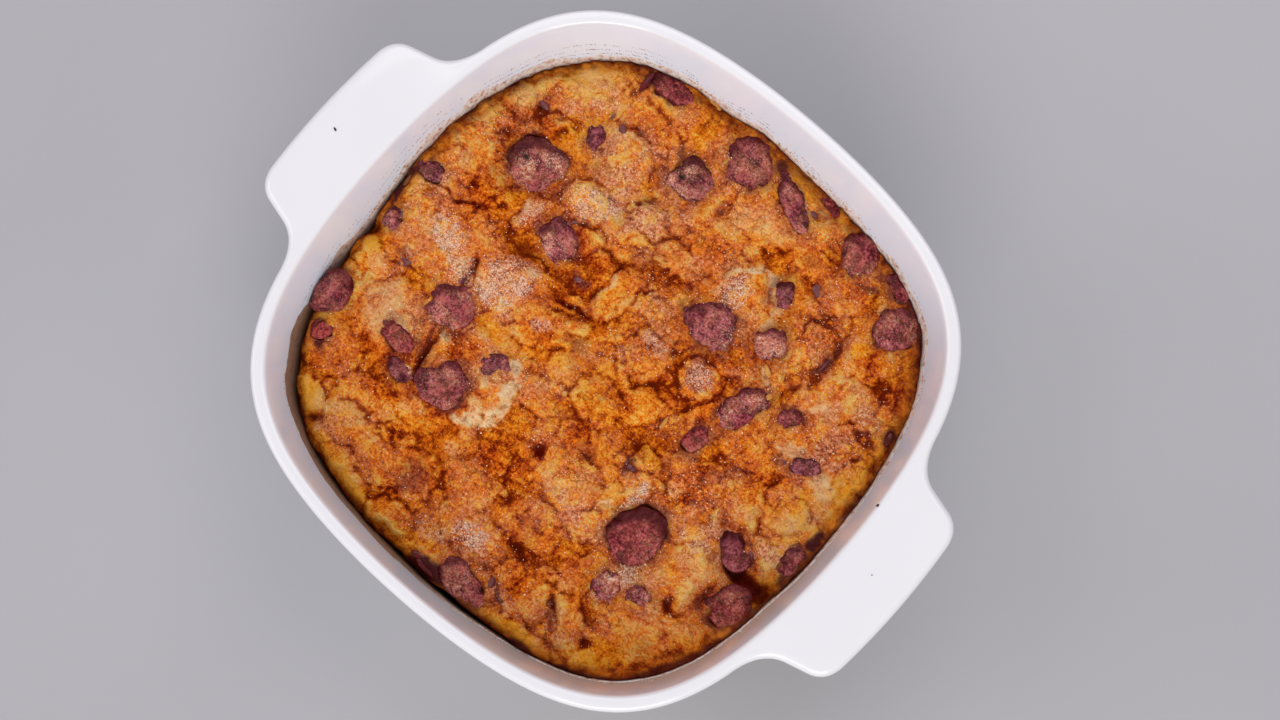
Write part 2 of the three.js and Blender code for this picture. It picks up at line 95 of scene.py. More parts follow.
def outline(angle):
    """Distance to the rounded square's edge, 1 in the middle of a side, with a slight eightfold dip."""
    dip = OUTLINE_FLATTENING * (1 - np.cos(8 * angle)) / 2
    return (1 - dip) / super_distance(np.cos(angle), np.sin(angle), OUTLINE_POWER)


def bow(start, pull, end, count):
    """Points of a quadratic curve from start towards end, drawn to pull, without its last point."""
    t = np.linspace(0, 1, count, endpoint=False)[:, None]
    return (1 - t) ** 2 * np.array(start) + 2 * t * (1 - t) * np.array(pull) + t ** 2 * np.array(end)


def plate_edge():
    """The edge of rim and tabs, anticlockwise from the +X tip, and the rim angle behind each point."""
    tip, side, corner, neck, fillet_end = (150, 0), (148.7, 29), (140, 41.6), (130, 44.3), (117.6, 61.4)
    tab = np.concatenate([bow(tip, (150, 14), side, 26), bow(side, (148.2, 39.3), corner, 20),
                          bow(corner, (135, 42.95), neck, 8), bow(neck, (120.5, 47.5), fillet_end, 26)])
    start = math.atan2(fillet_end[1], fillet_end[0])
    angle = np.linspace(start, math.pi / 2, 90, endpoint=False)
    rim = RIM_HALF * outline(angle)
    quarter = np.concatenate([tab, np.stack([rim * np.cos(angle), rim * np.sin(angle)], 1)])
    fine = np.linspace(0, math.pi / 2, 2000)
    behind = np.interp(quarter[:, 1], RIM_HALF * outline(fine) * np.sin(fine), fine)
    behind[len(tab):] = angle
    half = np.concatenate([quarter, [[0, RIM_HALF]], quarter[:0:-1] * [-1, 1]])
    half_behind = np.concatenate([behind, [math.pi / 2], math.pi - behind[:0:-1]])
    return np.concatenate([half, -half]), np.concatenate([half_behind, half_behind + math.pi])


def grid_faces(rows, columns, wrap):
    """Quads of a grid numbered row by row, facing out where rows climb and columns run anticlockwise."""
    i = np.arange(rows - 1)[:, None] * columns
    j = np.arange(columns if wrap else columns - 1)[None, :]
    k = (j + 1) % columns
    return np.stack([i + j, i + k, i + columns + k, i + columns + j], -1).reshape(-1, 4).tolist()


def fan(middle, ring):
    """Triangles from a middle point to a closed ring of points."""
    return np.stack([np.full(len(ring), middle), ring, np.roll(ring, -1)], 1).tolist()


def closed_rings(rows, first, last):
    """Points and faces of a closed skin from its rows of points and the poles before and after them."""
    rows = np.stack(rows)
    count, columns = rows.shape[:2]
    around = np.arange(columns)
    faces = grid_faces(count, columns, True) + fan(count * columns, around[::-1])
    faces += fan(count * columns + 1, (count - 1) * columns + around)
    return np.vstack([rows.reshape(-1, 3), first, last]), faces


def new_piece(name, points, faces, material, marks=None, smooth=True):
    """Mesh object from points in millimetres and faces; marks are named numbers for each point."""
    mesh = bpy.data.meshes.new(name)
    mesh.from_pydata(np.asarray(points) * MM, [], faces)
    mesh.polygons.foreach_set("use_smooth", np.full(len(mesh.polygons), smooth))
    for mark, values in (marks or {}).items():
        layer = mesh.attributes.new(mark, "FLOAT", "POINT")
        layer.data.foreach_set("value", np.asarray(values, np.float32).ravel())
    mesh.materials.append(material)
    mesh.update()
    piece = bpy.data.objects.new(name, mesh)
    bpy.context.collection.objects.link(piece)
    return piece


def feed(socket, value):
    """Links another node's socket to this one, or sets its constant."""
    if isinstance(value, bpy.types.NodeSocket):
        socket.id_data.links.new(value, socket)
    else:
        socket.default_value = value


def node_maker(tree):
    """A function that adds a node to a tree with its settings, and feeds its inputs by name or number."""
    def add(kind, inputs=None, **settings):
        """One node of a kind, set up and fed."""
        node = tree.nodes.new(kind)
        for key, value in settings.items():
            setattr(node, key, value)
        for key, value in (inputs or {}).items():
            feed(node.inputs[key], value)
        return node
    return add


def ramp(add, value, *stops):
    """Colour ramp node's output over a value; each stop is its place and a grey or a colour."""
    node = add("ShaderNodeValToRGB", {"Fac": value})
    elements = node.color_ramp.elements
    while len(elements) < len(stops):
        elements.new(0.5)
    for element, (place, colour) in zip(elements, stops):
        element.position = place
        element.color = (*colour, 1) if isinstance(colour, tuple) else (colour, colour, colour, 1)
    return node.outputs["Color"]


def mixed(add, share, below, above):
    """Colour from below to above by a share."""
    below, above = ((*value, 1) if isinstance(value, tuple) else value for value in (below, above))
    return add("ShaderNodeMix", {0: share, 6: below, 7: above}, data_type="RGBA").outputs[2]


def product(add, first, second):
    """Product of two values, kept from 0 to 1."""
    return add("ShaderNodeMath", {0: first, 1: second}, operation="MULTIPLY", use_clamp=True).outputs[0]


def weighted(add, *terms, start=0.0):
    """Start plus the sum of value * weight over the terms."""
    total = start
    for value, weight in terms:
        total = add("ShaderNodeMath", {0: value, 1: weight, 2: total}, operation="MULTIPLY_ADD").outputs[0]
    return total


def speckle(add, place, scale, detail=4.0, roughness=0.6):
    """Noise value over a place."""
    inputs = {"Vector": place, "Scale": scale, "Detail": detail, "Roughness": roughness}
    return add("ShaderNodeTexNoise", inputs).outputs["Fac"]


def mark(add, name):
    """Value of a mark made with the mesh."""
    return add("ShaderNodeAttribute", attribute_name=name).outputs["Fac"]


def new_material(name):
    """Material with a Principled shader: itself, its node adder, its shader and Object coordinates."""
    material = bpy.data.materials.new(name)
    material.use_nodes = True
    tree = material.node_tree
    tree.nodes.clear()
    add = node_maker(tree)
    shader = add("ShaderNodeBsdfPrincipled")
    add("ShaderNodeOutputMaterial", {"Surface": shader.outputs["BSDF"]})
    return material, add, shader, add("ShaderNodeTexCoord").outputs["Object"]


def plug(shader, **sockets):
    """Feeds the shader's sockets; an underscore in a name stands for a space."""
    for key, value in sockets.items():
        feed(shader.inputs[key.replace("_", " ")], value)


def glaze_material():
    """White tin glaze: faint pooling, a scuff line inside the rim, a bare foot, and painted reflections: a
    bluish tint on the inner walls and the pudding's warm colour low on one side.
    """
    material, add, shader, place = new_material("white_glaze")
    white = ramp(add, speckle(add, place, 14, 3), (0.3, (0.8, 0.795, 0.806)), (0.7, (0.826, 0.82, 0.832)))
    soot = ramp(add, speckle(add, place, 700, 3, 0.7), (0.58, 0.0), (0.68, 0.8))
    colour = mixed(add, product(add, mark(add, "fleck"), soot), white, (0.3, 0.25, 0.25))
    bare = mark(add, "bare")
    colour = mixed(add, bare, colour, (0.55, 0.5, 0.43))
    # Painted reflections: a bluish tint of the room on the inner walls, and the pudding's warm colour low on
    # the wall on one side.
    colour = mixed(add, mark(add, "painted_cool_reflection"), colour, (0.845, 0.915, 1))
    colour = mixed(add, mark(add, "painted_pudding_reflection"), colour, (0.82, 0.5, 0.3))
    gloss = ramp(add, speckle(add, place, 45, 5), (0.3, 0.1), (0.7, 0.2))
    swell = add("ShaderNodeBump", {"Height": speckle(add, place, 30, 2), "Strength": 0.05, "Distance": 0.002})
    plug(shader, Base_Color=colour, Roughness=weighted(add, (gloss, 1.0), (bare, 0.5)),
         Normal=swell.outputs["Normal"])
    plug(shader, IOR=1.52, Coat_Weight=0.35, Coat_Roughness=0.05)
    return material


def make_casserole():
    """Rings from the middle of the underside, out under the tabs, round their edge and down to the floor."""
    edge, behind = plate_edge()
    step = np.roll(edge, -1, 0) - np.roll(edge, 1, 0)
    normal = np.stack([step[:, 1], -step[:, 0]], 1) / np.linalg.norm(step, axis=1)[:, None]
    way = np.stack([np.cos(behind), np.sin(behind)], 1) * outline(behind)[:, None]
    reach = np.linalg.norm(edge, axis=1) - RIM_HALF * outline(np.arctan2(edge[:, 1], edge[:, 0]))
    tab = rise_between(reach, 0, TAB_BLEND)

    def ring(plan, height):
        """One row of points at a height, which may vary along the row."""
        return np.column_stack([plan, np.broadcast_to(height, len(plan))])

    def blend(at_rim, at_tab):
        """A value along the edge, from the rim's to the tabs'."""
        return at_rim * (1 - tab) + at_tab * tab

    rows = [ring(way * half, height) for half, height in OUTER_PROFILE]
    roll, lift = blend(RIM_ROLL, TAB_ROLL), blend(RIM_LIFT, TAB_LIFT)
    middle = blend(RIM_TOP - RIM_LIFT, TAB_TOP - TAB_LIFT)
    arc = [ring(edge - normal * (roll * (1 - math.cos(turn)))[:, None], middle + lift * math.sin(turn))
           for turn in np.radians(np.linspace(-80, 90, 12))]
    wall = ring(way * WALL_HALF, WALL_TOP)
    under = TAB_TOP - TAB_THICKNESS
    for share in (0.0, 0.06, 0.14, 0.25, 0.45, 0.7, 0.9):
        row = wall * (1 - share) + arc[0] * share
        fillet = under - (under - WALL_TOP) * (1 - min(share / TAB_FILLET, 1)) ** 2.2
        row[:, 2] = blend(row[:, 2], fillet)
        rows.append(row)
    rows += arc
    band = ring(way * WALL_HALF, RIM_TOP)
    for share in (0.3, 0.6, 0.85, 1.0):
        row = arc[-1] * (1 - share) + band * share
        row[:, 2] = arc[-1][:, 2] + (RIM_TOP - arc[-1][:, 2]) * max(0.0, 2 * share - 1) ** 2
        rows.append(row)
    rows += [ring(way * half, height) for half, height in INNER_PROFILE]
    points, faces = closed_rings(rows, (0, 0, 0), (0, 0, FLOOR_TOP))

    x, y, height = points.T
    angle = np.arctan2(y, x)
    out = np.hypot(x, y) / outline(angle)
    inside = out < INSIDE_HALF
    within = inside & (height > 20)
    glow = facing(angle, GLOW_BEARING)
    scuff = np.exp(-((height - SCUFF_LEVEL) / 1.8) ** 2) * np.clip(facing(angle, SCUFF_BEARING), 0, 1)
    low = np.clip((72 - height) / 16, 0, 1)
    # The last two marks are painted reflections on the inner walls: bluish away from GLOW_BEARING, and the
    # pudding's warm colour low down towards it.
    marks = {"fleck": scuff * inside, "bare": (height < 0.5) & (out > FOOT_RING[0]) & (out < FOOT_RING[1]),
             "painted_cool_reflection": within * np.clip(1.1 - 0.9 * glow, 0, 1),
             "painted_pudding_reflection": 0.6 * within * np.clip((glow - 0.66) / 0.3, 0, 1) * low}
    dish = new_piece("casserole", points, faces, glaze_material(), marks)
    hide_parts("baking_dish")
    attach(dish, "root")


make_casserole()

# ------------------------------------------------------------------ baked bread
# Slices of bread soaked in custard, pressed together in the dish and baked into one piece: low domes
# with creases between them, hollows, a browned sugared crust, and an edge that has shrunk from the wall.
BREAD_HALF = 112.0         # centre to the edge of the top, middle of a side
EDGE_LEVEL = 44.0
CROWN = 7.0
SHRINK_BEARING = 236       # middle of the side that has come away from the dish
SHRINK_GAP = 2.0           # gap to the wall on that side, and where the pudding touches the dish
TOUCH_GAP = 0.55
RIM_INSET = 1.5            # how far inside the gap the edge's height is read
SHRINK_DROP, EDGE_ROLL = 5.5, 9.0     # depth and width of the roll-over on the shrunk side
CUSTARD_DIP = 1.6          # depth of the custard between the slices
FLOOR_LEVEL = 6.6          # underside of the bread
TOP_CELLS = 300            # along each side of the top's grid
SLICE_BLEND = 3.2          # how sharply the domes meet
SLICE_SHARE = 0.58         # share of the domes' height that the baking left
LUMPS = 340                # small lumps of crumb all over the top
GAP_SHADE_BEARING = 306        # middle of the side on which the gap at the edge is painted darker as shade
PIT_LEAN = (-0.66, 0.75)   # side on which a cherry's pit is widest
CLOSED_PIT = 0.7           # pit width up to which the bread closes round a cherry
PIT_SLOPE, PIT_DEPTH = 3.0, 7.0
CHERRY_DRAW = 5.0          # distance over which the bread rises or falls to a cherry's shoulder
PROUD_RISE, LOOSE_RISE = 2.9, 5.0     # rise from which a cherry stands proud, and from which it leans free
HALO_REACH = 2.6           # width of the juice stain round a cherry
NOT_CARVED = 99.0
# Stretches where the pudding has risen up the wall: bearing and half extent in degrees, rise.
RISEN = [(170, 20, 8), (122, 11, 5), (95, 10, 4), (50, 7, 4.5), (222, 20, 3.5), (266, 14, 2.5), (5, 12, 1.5)]
RISEN_WIDTH = 26.0         # how far in from the wall such a stretch reaches

# Slices: centre x, y, length, width, turn in degrees, rise.
SLICES = [
    (-82, -2, 40, 34, 25, 4.2), (-52, -2, 32, 24, 10, 3.6), (-30, -6, 27, 17, 25, 2.6),
    (-78, -42, 36, 30, -10, 3.2), (-46, -31, 26, 17, -15, 1.8), (-28, -40, 17, 31, -8, 3.4),
    (-98, -33, 15, 24, 20, 3.4), (-103, -25, 9, 10, 0, 4.6), (-86, -68, 24, 22, 30, 3),
    (-62, -71, 27, 14, 10, 2.8), (-82, -87, 17, 13, -30, 5), (-61, -86, 27, 15, -5, 3),
    (-42, -62, 24, 15, 10, 2.6), (-41, -88, 20, 17, 15, 2.6), (-27, -84, 17, 21, 20, 3),
    (-61, -98, 24, 11, -18, 2.6), (-44, -103, 17, 9, -5, 3.6), (-24, -102, 21, 11, 5, 2.4),
    (-7, -48, 19, 26, 15, 2.2), (-8, -72, 19, 20, 0, 2), (17, -45, 32, 21, -12, 3),
    (35, -54, 28, 11, 30, 3.4), (20, -67, 28, 18, 5, 2.6), (4, -86, 31, 16, 5, 3.4),
    (35, -89, 27, 15, -8, 3), (56, -88, 13, 22, 40, 4.4), (42, -103, 25, 10, 8, 3.2),
    (72, -87, 25, 18, 30, 3), (80, -72, 27, 24, 20, 4), (80, -41, 30, 28, 0, 5), (93, -61, 17, 15, 20, 2.8),
    (43, -31, 8, 17, 5, 3.8), (73, -28, 15, 9, 10, 2), (58, -13, 26, 18, 0, 2.4), (77, -8, 19, 27, 25, 5.2),
    (91, 2, 24, 24, 0, 3.6), (104, -4, 11, 24, 0, 3.8), (98, -16, 15, 13, -45, 4.6),
    (8, -13, 22, 17, -10, 2.8), (21, -4, 17, 14, 15, 2.4), (38, -18, 12, 10, 0, 4),
    (-13, -27, 18, 13, -10, 1.8), (10, -29, 18, 12, 10, 2.2), (10, 13, 22, 19, 0, 3.4),
    (32, 20, 17, 17, 10, 4.4), (-15, 24, 15, 25, 0, 4.4), (-1, 29, 13, 12, 0, 3.2),
    (-40, 31, 15, 12, 0, 3.4), (-29, 26, 17, 13, 0, 2.8), (-49, 44, 22, 16, 5, 3.6),
    (-63, 27, 12, 16, 0, 3.4), (-50, 66, 26, 28, 10, 4.2), (-84, 72, 31, 16, 25, 2.6),
    (-80, 87, 26, 15, 38, 3.2), (-97, 60, 15, 15, 0, 3.2), (-102, 44, 15, 20, 0, 2.8),
    (-99, 28, 20, 19, 20, 3.2), (-82, 27, 19, 13, 5, 2.8), (-88, 16, 24, 10, 5, 2.2),
    (-52, 86, 29, 13, -5, 2.6), (-42, 99, 14, 18, 10, 3), (-31, 100, 13, 20, 0, 2.4),
    (-26, 54, 15, 14, 20, 4), (-28, 42, 25, 11, 0, 1.4), (-6, 51, 20, 12, 5, 3.2), (8, 86, 29, 19, 5, 3),
    (4, 66, 29, 22, 10, 2.6), (-12, 75, 14, 20, 0, 2), (12, 107, 18, 8, -5, 2.8), (32, 99, 15, 18, 0, 2.8),
    (33, 85, 23, 12, 0, 2.4), (54, 85, 20, 19, 0, 2.8), (24, 60, 26, 23, -20, 5), (57, 60, 14, 18, 0, 4.2),
    (75, 69, 18, 17, 0, 2.4), (86, 77, 20, 16, -30, 3.8), (96, 66, 14, 22, 10, 2.4), (81, 54, 25, 14, 10, 3),
    (98, 46, 18, 20, 0, 2.6), (74, 43, 22, 13, 20, 3), (52, 39, 15, 9, -40, 3.8), (39, 35, 15, 12, 0, 3),
    (84, 33, 30, 17, 5, 3.8), (104, 28, 14, 22, 0, 3.8), (95, 15, 24, 15, -10, 2.8),
    (66, 12, 22, 18, 0, 2.4), (43, 9, 18, 12, 20, 1.6),
]
# Hollows: centre x, y, length, width, turn, depth.
HOLLOWS = [
    (99, -28, 17, 8, -8, 7), (-55, 14, 34, 6, 4, 3), (64, 61, 6, 18, 0, 4), (-7, 78, 5, 9, 0, 3),
    (66, -89, 7, 6, 0, 4), (81, -55, 10, 7, 0, 3.5), (49, -88, 4, 15, 42, 4), (-74, -92, 6, 6, 0, 4),
    (-58, -44, 4, 22, 18, 4), (-66, -8, 4, 14, 15, 4), (-26, 8, 16, 5, 10, 3.5), (3, -43, 6, 7, 0, 3),
    (-108, -20, 7, 9, 0, 6), (-104, -70, 8, 16, 30, 7), (22, -78, 11, 4, -20, 2.5), (91, -28, 10, 6, -20, 5),
    (106, -26, 6, 10, 0, 5), (98, -48, 12, 5, 20, 3), (-86, 50, 14, 3, 35, 2), (50, -31, 16, 4, 20, 3),
    (62, 39, 5, 10, 0, 3),
]
# Flaps: slices with one crisp lip standing up: centre x, y, length, width, turn, lift, bearing of the lip.
FLAPS = [
    (77, -9, 20, 24, 25, 3, -57), (91, 2, 22, 15, 10, 1.8, -30), (98, -15, 13, 12, -45, 2.4, -60),
    (103, 29, 12, 20, -20, 2.2, 60), (-37, 30, 20, 13, -10, 2, 150), (24, 60, 25, 21, -20, 1.6, 120),
    (-50, 66, 23, 25, 10, 1.4, 150), (-26, 54, 14, 12, 20, 1.4, 180), (57, 60, 13, 17, 0, 1.4, 180),
    (8, 1, 15, 4, -38, 2.2, 52), (4, 7, 11, 3, -35, 1.6, 52), (-15, 24, 12, 24, 0, 0.9, 180),
    (10, 13, 20, 16, 0, 0.8, -50), (32, 20, 17, 18, 0, 1, -20), (80, -41, 28, 27, 0, 1.6, -15),
    (57, -88, 12, 20, 40, 1.8, 220), (-82, -88, 16, 11, -30, 1.4, 200), (-49, 44, 20, 13, 5, 1.2, 120),
    (-97, 60, 14, 13, 0, 1, 180), (46, 37, 16, 8, -40, 1.4, 200), (-82, -3, 36, 28, 20, 0.8, 100),
    (-52, -2, 28, 24, 5, 0.6, 180), (-30, -6, 24, 14, 25, 0.9, 120), (22, -4, 16, 12, 15, 0.6, 90),
    (-60, -85, 24, 12, -5, 0.6, 90), (-9, -46, 14, 24, 15, 0.6, 0), (17, -45, 26, 16, -12, 0.6, 120),
    (-88, 72, 22, 12, 25, 0.8, 140), (-6, 51, 18, 9, 5, 0.8, 90), (-78, -42, 28, 22, -10, 0.5, 120),
    (4, -86, 28, 14, 5, 0.5, 90), (21, -67, 24, 13, 5, 0.5, 100),
]
# Fine cracks, as narrow ovals: centre x, y, length, width, turn, depth.
CRACKS = [
    (-59, -40, 2, 20, 14, 3), (-56, -50, 1.8, 10, 20, 2.6), (-65, -9, 2.2, 15, 12, 3),
    (-25, 8, 14, 2.4, 12, 2.6), (-88, 12, 24, 2.2, 14, 2.2), (48.5, -88, 2.6, 15, 42, 3),
    (22, -78, 11, 2, -18, 2), (-39, -12, 7, 1.8, -15, 2), (5, 4, 14, 1.6, -40, 1.6),
    (40, 46, 1.8, 12, 10, 1.6), (-34, 60, 8, 1.8, 50, 1.4), (-47, 14, 22, 2, 5, 1.8),
    (63, 33, 2, 14, 20, 1.6), (97, 45, 16, 3.4, -14, 3), (-45, -77, 9, 2.4, 0, 2.4),
    (0, -60, 2, 18, 15, 1.6), (35, -60, 24, 2.2, 30, 1.8), (38, 12, 2.2, 20, -25, 1.8),
    (-17, 45, 22, 2, 4, 1.6), (13, 5, 10, 1.6, 60, 1.6), (70, -33, 10, 1.8, 35, 1.8),
    (-72, -28, 16, 2, -40, 1.6),
]
# Cherries: dust, the cinnamon sugar on top, goes from 0 to 1, and tint from red -1 to blue 1.
Cherry = namedtuple("Cherry", "x y length width turn thickness rise pit dust tint", defaults=(0, 0, 0, 0))
CHERRIES = [Cherry(*values) for values in [
    (-54.6, 101.6, 19.5, 10.8, 3, 12, 3, 0.5, 0.3, -0.3),
    (-11.7, 100.4, 22, 20, 131, 18, 3.8, 0.6, 0.5, -0.2), (-25, 79.3, 18.5, 17, 80, 16, 0.6, 1.6, 1, 0.5),
    (-65, 67, 12, 8, -62, 9, 0.4, 0.8, 0.15, 0.7), (-75.8, 43, 23.5, 22.5, 0, 18, 1.2, 2, 1, -0.1),
    (-47.5, 25, 18, 15, -20, 14, 2.2, 0.8, 0.9, 0.1), (-105, 12.5, 12, 8, 15, 9, 1.6, 0.5, 0.35, 0.9),
    (-104, -12, 10, 7, 100, 8, 1, 0.5, 0.45, 0.5), (-62, -23, 19.5, 18.5, 20, 16, 1, 0.9, 0.6, -0.2),
    (-102.2, -50.5, 19, 16, 100, 17, 12, 0.5, 0.3, 0.2), (-94.6, -64.5, 9, 7.5, 60, 8, 2, 0.5, 0.1, -1),
    (-69.4, -46.8, 14.5, 8.5, -12, 9, 1.4, 0.6, 0.35, -0.7),
    (-60, -56.4, 12, 9.5, -20, 10, 1.6, 0.6, 0.45, 0.8), (-43.5, -49, 21, 19, 60, 17, 2.4, 0.9, 0.55, 0),
    (-33, -29.5, 12, 8, 48, 8, 0.8, 0.6, 0.3, 0.9), (12.6, 99.2, 26.5, 9.5, -32, 11, 1.8, 0.6, 0.6, 0.1),
    (24.2, 108.6, 9.5, 6, -6, 7, 2, 0.5, 0.1, -0.6), (46.5, 101.4, 20, 17.6, 131, 16, 4.2, 0.5, 0.6, -0.2),
    (77, 87, 21.5, 17.6, 41, 17, 4, 0.5, 0.55, 0), (67.4, 99.6, 15, 6.8, -27, 8, 2.6, 0.5, 0.5, -0.4),
    (34.5, 68.5, 12, 9, -50, 10, 0.6, 1, 0.3, 0.9), (20.5, 39.5, 25, 18.5, 5, 16, 2.4, 0.6, 0.95, 0.2),
    (43.5, 49, 16, 14.5, 60, 13, 1.8, 0.6, 0.95, 0.1), (52, 23.3, 22, 13.5, 76, 14, 2.4, 0.7, 0.85, 0),
    (68.6, 31.5, 10.5, 8, 60, 9, 0.2, 0.8, 0.2, 0), (86, 21.5, 13, 8, 30, 9, 0.6, 0.8, 0.25, 1),
    (46, 1, 11, 8.5, 70, 9, 0.8, 0.6, 0.35, -0.6), (54, -43.5, 25, 24, 90, 18, 0.2, 2.2, 0.36, -0.5),
    (70.4, -61, 11, 9, 30, 9, 1.6, 0.6, 0.7, 0.2), (58, -65.5, 15, 11, 100, 11, 1.8, 0.6, 1, 0.1),
    (86.5, -22, 17, 12, -35, 13, -1, 1, 0.15, 0.6), (99, -39.5, 18, 16, 80, 15, 0, 0.6, 0.6, -0.4),
    (106.3, -10, 13.5, 8, 95, 11, 0.6, 0.5, 0.25, 0.2), (14.3, -102.2, 25, 13, -8, 13, 2.8, 0.6, 0.6, -0.2),
]]
# Stains of the surface, as soft ovals: centre x, y, length, width, turn, strength.
SUGARED = [
    (-82, -2, 20, 15, -20, 1), (-70, -9, 13, 12, 20, 0.9), (-52, 0, 26, 21, 10, 0.9),
    (-52, -10, 22, 10, 0, 1), (-29, -5, 11, 7, 20, 0.6), (-49, 44, 22, 15, 5, 0.7),
    (-63, 27, 11, 14, 0, 0.7), (10, 17, 16, 7, -10, 0.5), (31, 21, 14, 13, 0, 0.7), (5, -87, 19, 11, 5, 1),
    (-8, -95, 20, 9, 10, 0.4), (30, -96, 24, 8, -10, 0.4), (20, 55, 16, 17, -20, 0.9),
    (43, -31, 7, 16, 5, 1), (58, -67, 9, 13, 10, 1), (61, -58, 12, 12, 20, 0.7), (56, -50, 16, 9, 0, 0.6),
    (-60, -55, 9, 7, 0, 0.8), (-40, 48, 12, 9, 0, 0.5), (52, 22, 12, 16, 0, 0.4), (72, -31, 12, 8, 0, 0.4),
    (-78, -40, 32, 24, 0, 0.25), (-66, -94, 14, 7, -10, 0.4), (15, 100, 12, 8, -30, 0.5),
    (49, 102, 9, 8, 0, 0.5),
]
CREAM = [
    (-26, -26, 12, 6, -55, 1.3), (-20.5, -36, 15, 7, -68, 1.4), (-19, -45, 11, 8, 80, 1.4),
    (-24, -51.5, 13, 8, 25, 1.4), (-30, -55, 10, 5, 10, 1.2), (-27, -47, 9, 8, 0, 0.9),
    (-31, -37, 6, 8, 0, 0.6), (17, 65, 17, 4, 46, 1.3), (34, 63, 5, 12, 40, 1.2), (27, 69, 13, 4, -15, 1.2),
    (12, 57, 4, 14, 10, 1), (37, 54, 6, 10, 0, 0.6), (96, 19, 13, 12, 0, 0.7), (78, 23, 16, 4, 25, 0.8),
    (75, 43, 14, 4, 35, 0.6), (-60, 70, 4, 14, 10, 0.8), (-50, 77, 16, 4, 0, 0.35),
    (-82, 86, 20, 6, 35, 0.35), (-97, 60, 13, 12, 0, 0.35), (-20, 77, 7, 6, 0, 0.9),
    (-20, 25, 3, 20, 0, 0.5), (8, 84, 26, 12, 8, 0.3), (-57, -8, 8, 8, 0, 0.5), (37, -42, 7, 6, 30, 0.8),
    (42, -50, 4, 9, 40, 0.7), (52, 38, 12, 5, -40, 0.6), (-57, -33, 10, 4, -8, 0.9),
    (-104, -60, 7, 7, 0, 0.5), (94, -1, 10, 10, 0, 0.3), (80, -40, 14, 14, 0, 0.25),
    (-78, -42, 30, 26, 0, 0.4), (100, -14, 9, 8, 0, 0.5), (-96, -30, 8, 16, 0, 0.35), (68, 90, 6, 5, 0, 0.6),
    (52, -20, 9, 4, 30, 0.5), (-47, -63, 14, 8, 0, 0.3), (-23, -66, 9, 8, 0, 0.4),
    (45, -75, 12, 10, 0, 0.25), (2, 52, 12, 4, 0, 0.4),
]
CUSTARD = [
    (-55, 14, 36, 7, 4, 1), (-72, 27, 12, 8, -20, 0.8), (-73, 66, 10, 26, -25, 0.8),
    (-80, -24, 14, 9, 0, 0.7), (-30, 23, 12, 7, 0, 0.6), (38, -18, 11, 9, 0, 0.9), (72, 72, 10, 10, 0, 0.8),
    (86, 77, 20, 13, -30, 0.8), (101, 42, 12, 22, 0, 0.9), (96, 12, 16, 8, 0, 0.8),
    (74, -88, 24, 14, 20, 0.8), (42, -104, 26, 9, 8, 0.9), (-44, -103, 17, 8, 0, 0.8),
    (-82, -88, 16, 12, -30, 0.8), (-103, -25, 9, 10, 0, 0.8), (8, -14, 20, 14, 0, 0.7),
    (52, 38, 14, 8, -40, 0.8), (38, 36, 14, 9, 0, 0.5), (-33, 98, 9, 20, 0, 0.6), (12, 107, 17, 7, 0, 0.9),
    (40, 93, 14, 9, 0, 0.5), (-85, 84, 22, 13, 38, 0.6), (104, 28, 12, 24, 0, 0.7), (94, 0, 20, 24, 0, 0.5),
    (22, 53, 8, 6, 0, 0.7), (40, 55, 10, 8, 0, 0.6), (-9, -46, 16, 22, 15, 0.4), (90, -95, 40, 12, 45, 0.8),
    (-46, -20, 14, 9, 0, 0.6), (60, 36, 6, 18, -30, 0.6), (40, -62, 24, 8, 30, 0.5),
    (-60, -99, 30, 8, -18, 0.5),
]
TOASTED = [
    (-47, -32, 22, 13, -12, 0.9), (-28, 42, 26, 10, 0, 0.6), (60, -14, 26, 16, 0, 0.6),
    (90, 65, 14, 12, 0, 1), (96, 68, 12, 22, 10, 0.7), (84, 33, 24, 12, 5, 0.5), (-62, -66, 18, 13, 0, 0.6),
    (-84, 58, 22, 7, 15, 0.5), (95, 46, 18, 6, -14, 0.9), (66, -89, 7, 7, 0, 0.9), (81, -54, 10, 8, 0, 0.8),
    (3, -44, 6, 7, 0, 0.7), (-45, -76, 10, 6, 0, 0.7), (-74, -92, 7, 6, 0, 0.7), (100, -28, 16, 9, 0, 1),
    (-30, -60, 9, 12, 0, 0.3), (35, -56, 22, 5, 30, 0.4), (-77, 95, 14, 8, 35, 0.7),
    (-60, 17, 26, 6, 5, 0.4), (-40, 68, 12, 14, 0, 0.4), (10, -28, 22, 9, 10, 0.4), (70, 50, 16, 9, 0, 0.4),
    (97, -25, 14, 10, -20, 0.8), (-96, 47, 8, 12, 0, 0.3),
]
# Crust baked paler and more golden than the rest.
GOLDEN = [
    (-104, 45, 16, 44, 8, 1), (-88, 76, 40, 22, 38, 0.8), (-55, 88, 34, 12, 10, 0.6),
    (8, 76, 36, 26, 0, 0.9), (-28, -16, 36, 12, 10, 0.8), (-14, -45, 18, 34, 10, 1),
    (-84, -42, 34, 24, 0, 0.9), (-47, -66, 36, 16, 0, 0.9), (-46, -104, 30, 8, -4, 1),
    (-20, -104, 20, 8, 4, 0.8), (42, -104, 30, 9, 8, 1), (76, -77, 34, 22, 20, 1), (92, -58, 14, 18, 0, 0.9),
    (90, 1, 28, 16, 0, 0.9), (104, 28, 12, 20, 0, 0.7), (18, -45, 30, 18, 0, 0.7), (-82, 28, 22, 14, 0, 0.6),
    (72, -90, 30, 14, 25, 0.9), (-15, 24, 12, 22, 0, 0.5), (8, -13, 20, 14, 0, 0.6),
    (66, 12, 20, 14, 0, 0.5), (-82, -88, 18, 12, -30, 1), (-98, 60, 16, 16, 0, 0.8),
    (-103, -25, 10, 12, 0, 1), (-30, 100, 20, 18, 0, 0.5), (30, 92, 20, 12, 0, 0.4),
    (-60, 14, 30, 8, 0, 0.4), (80, -30, 20, 10, 0, 0.4),
]
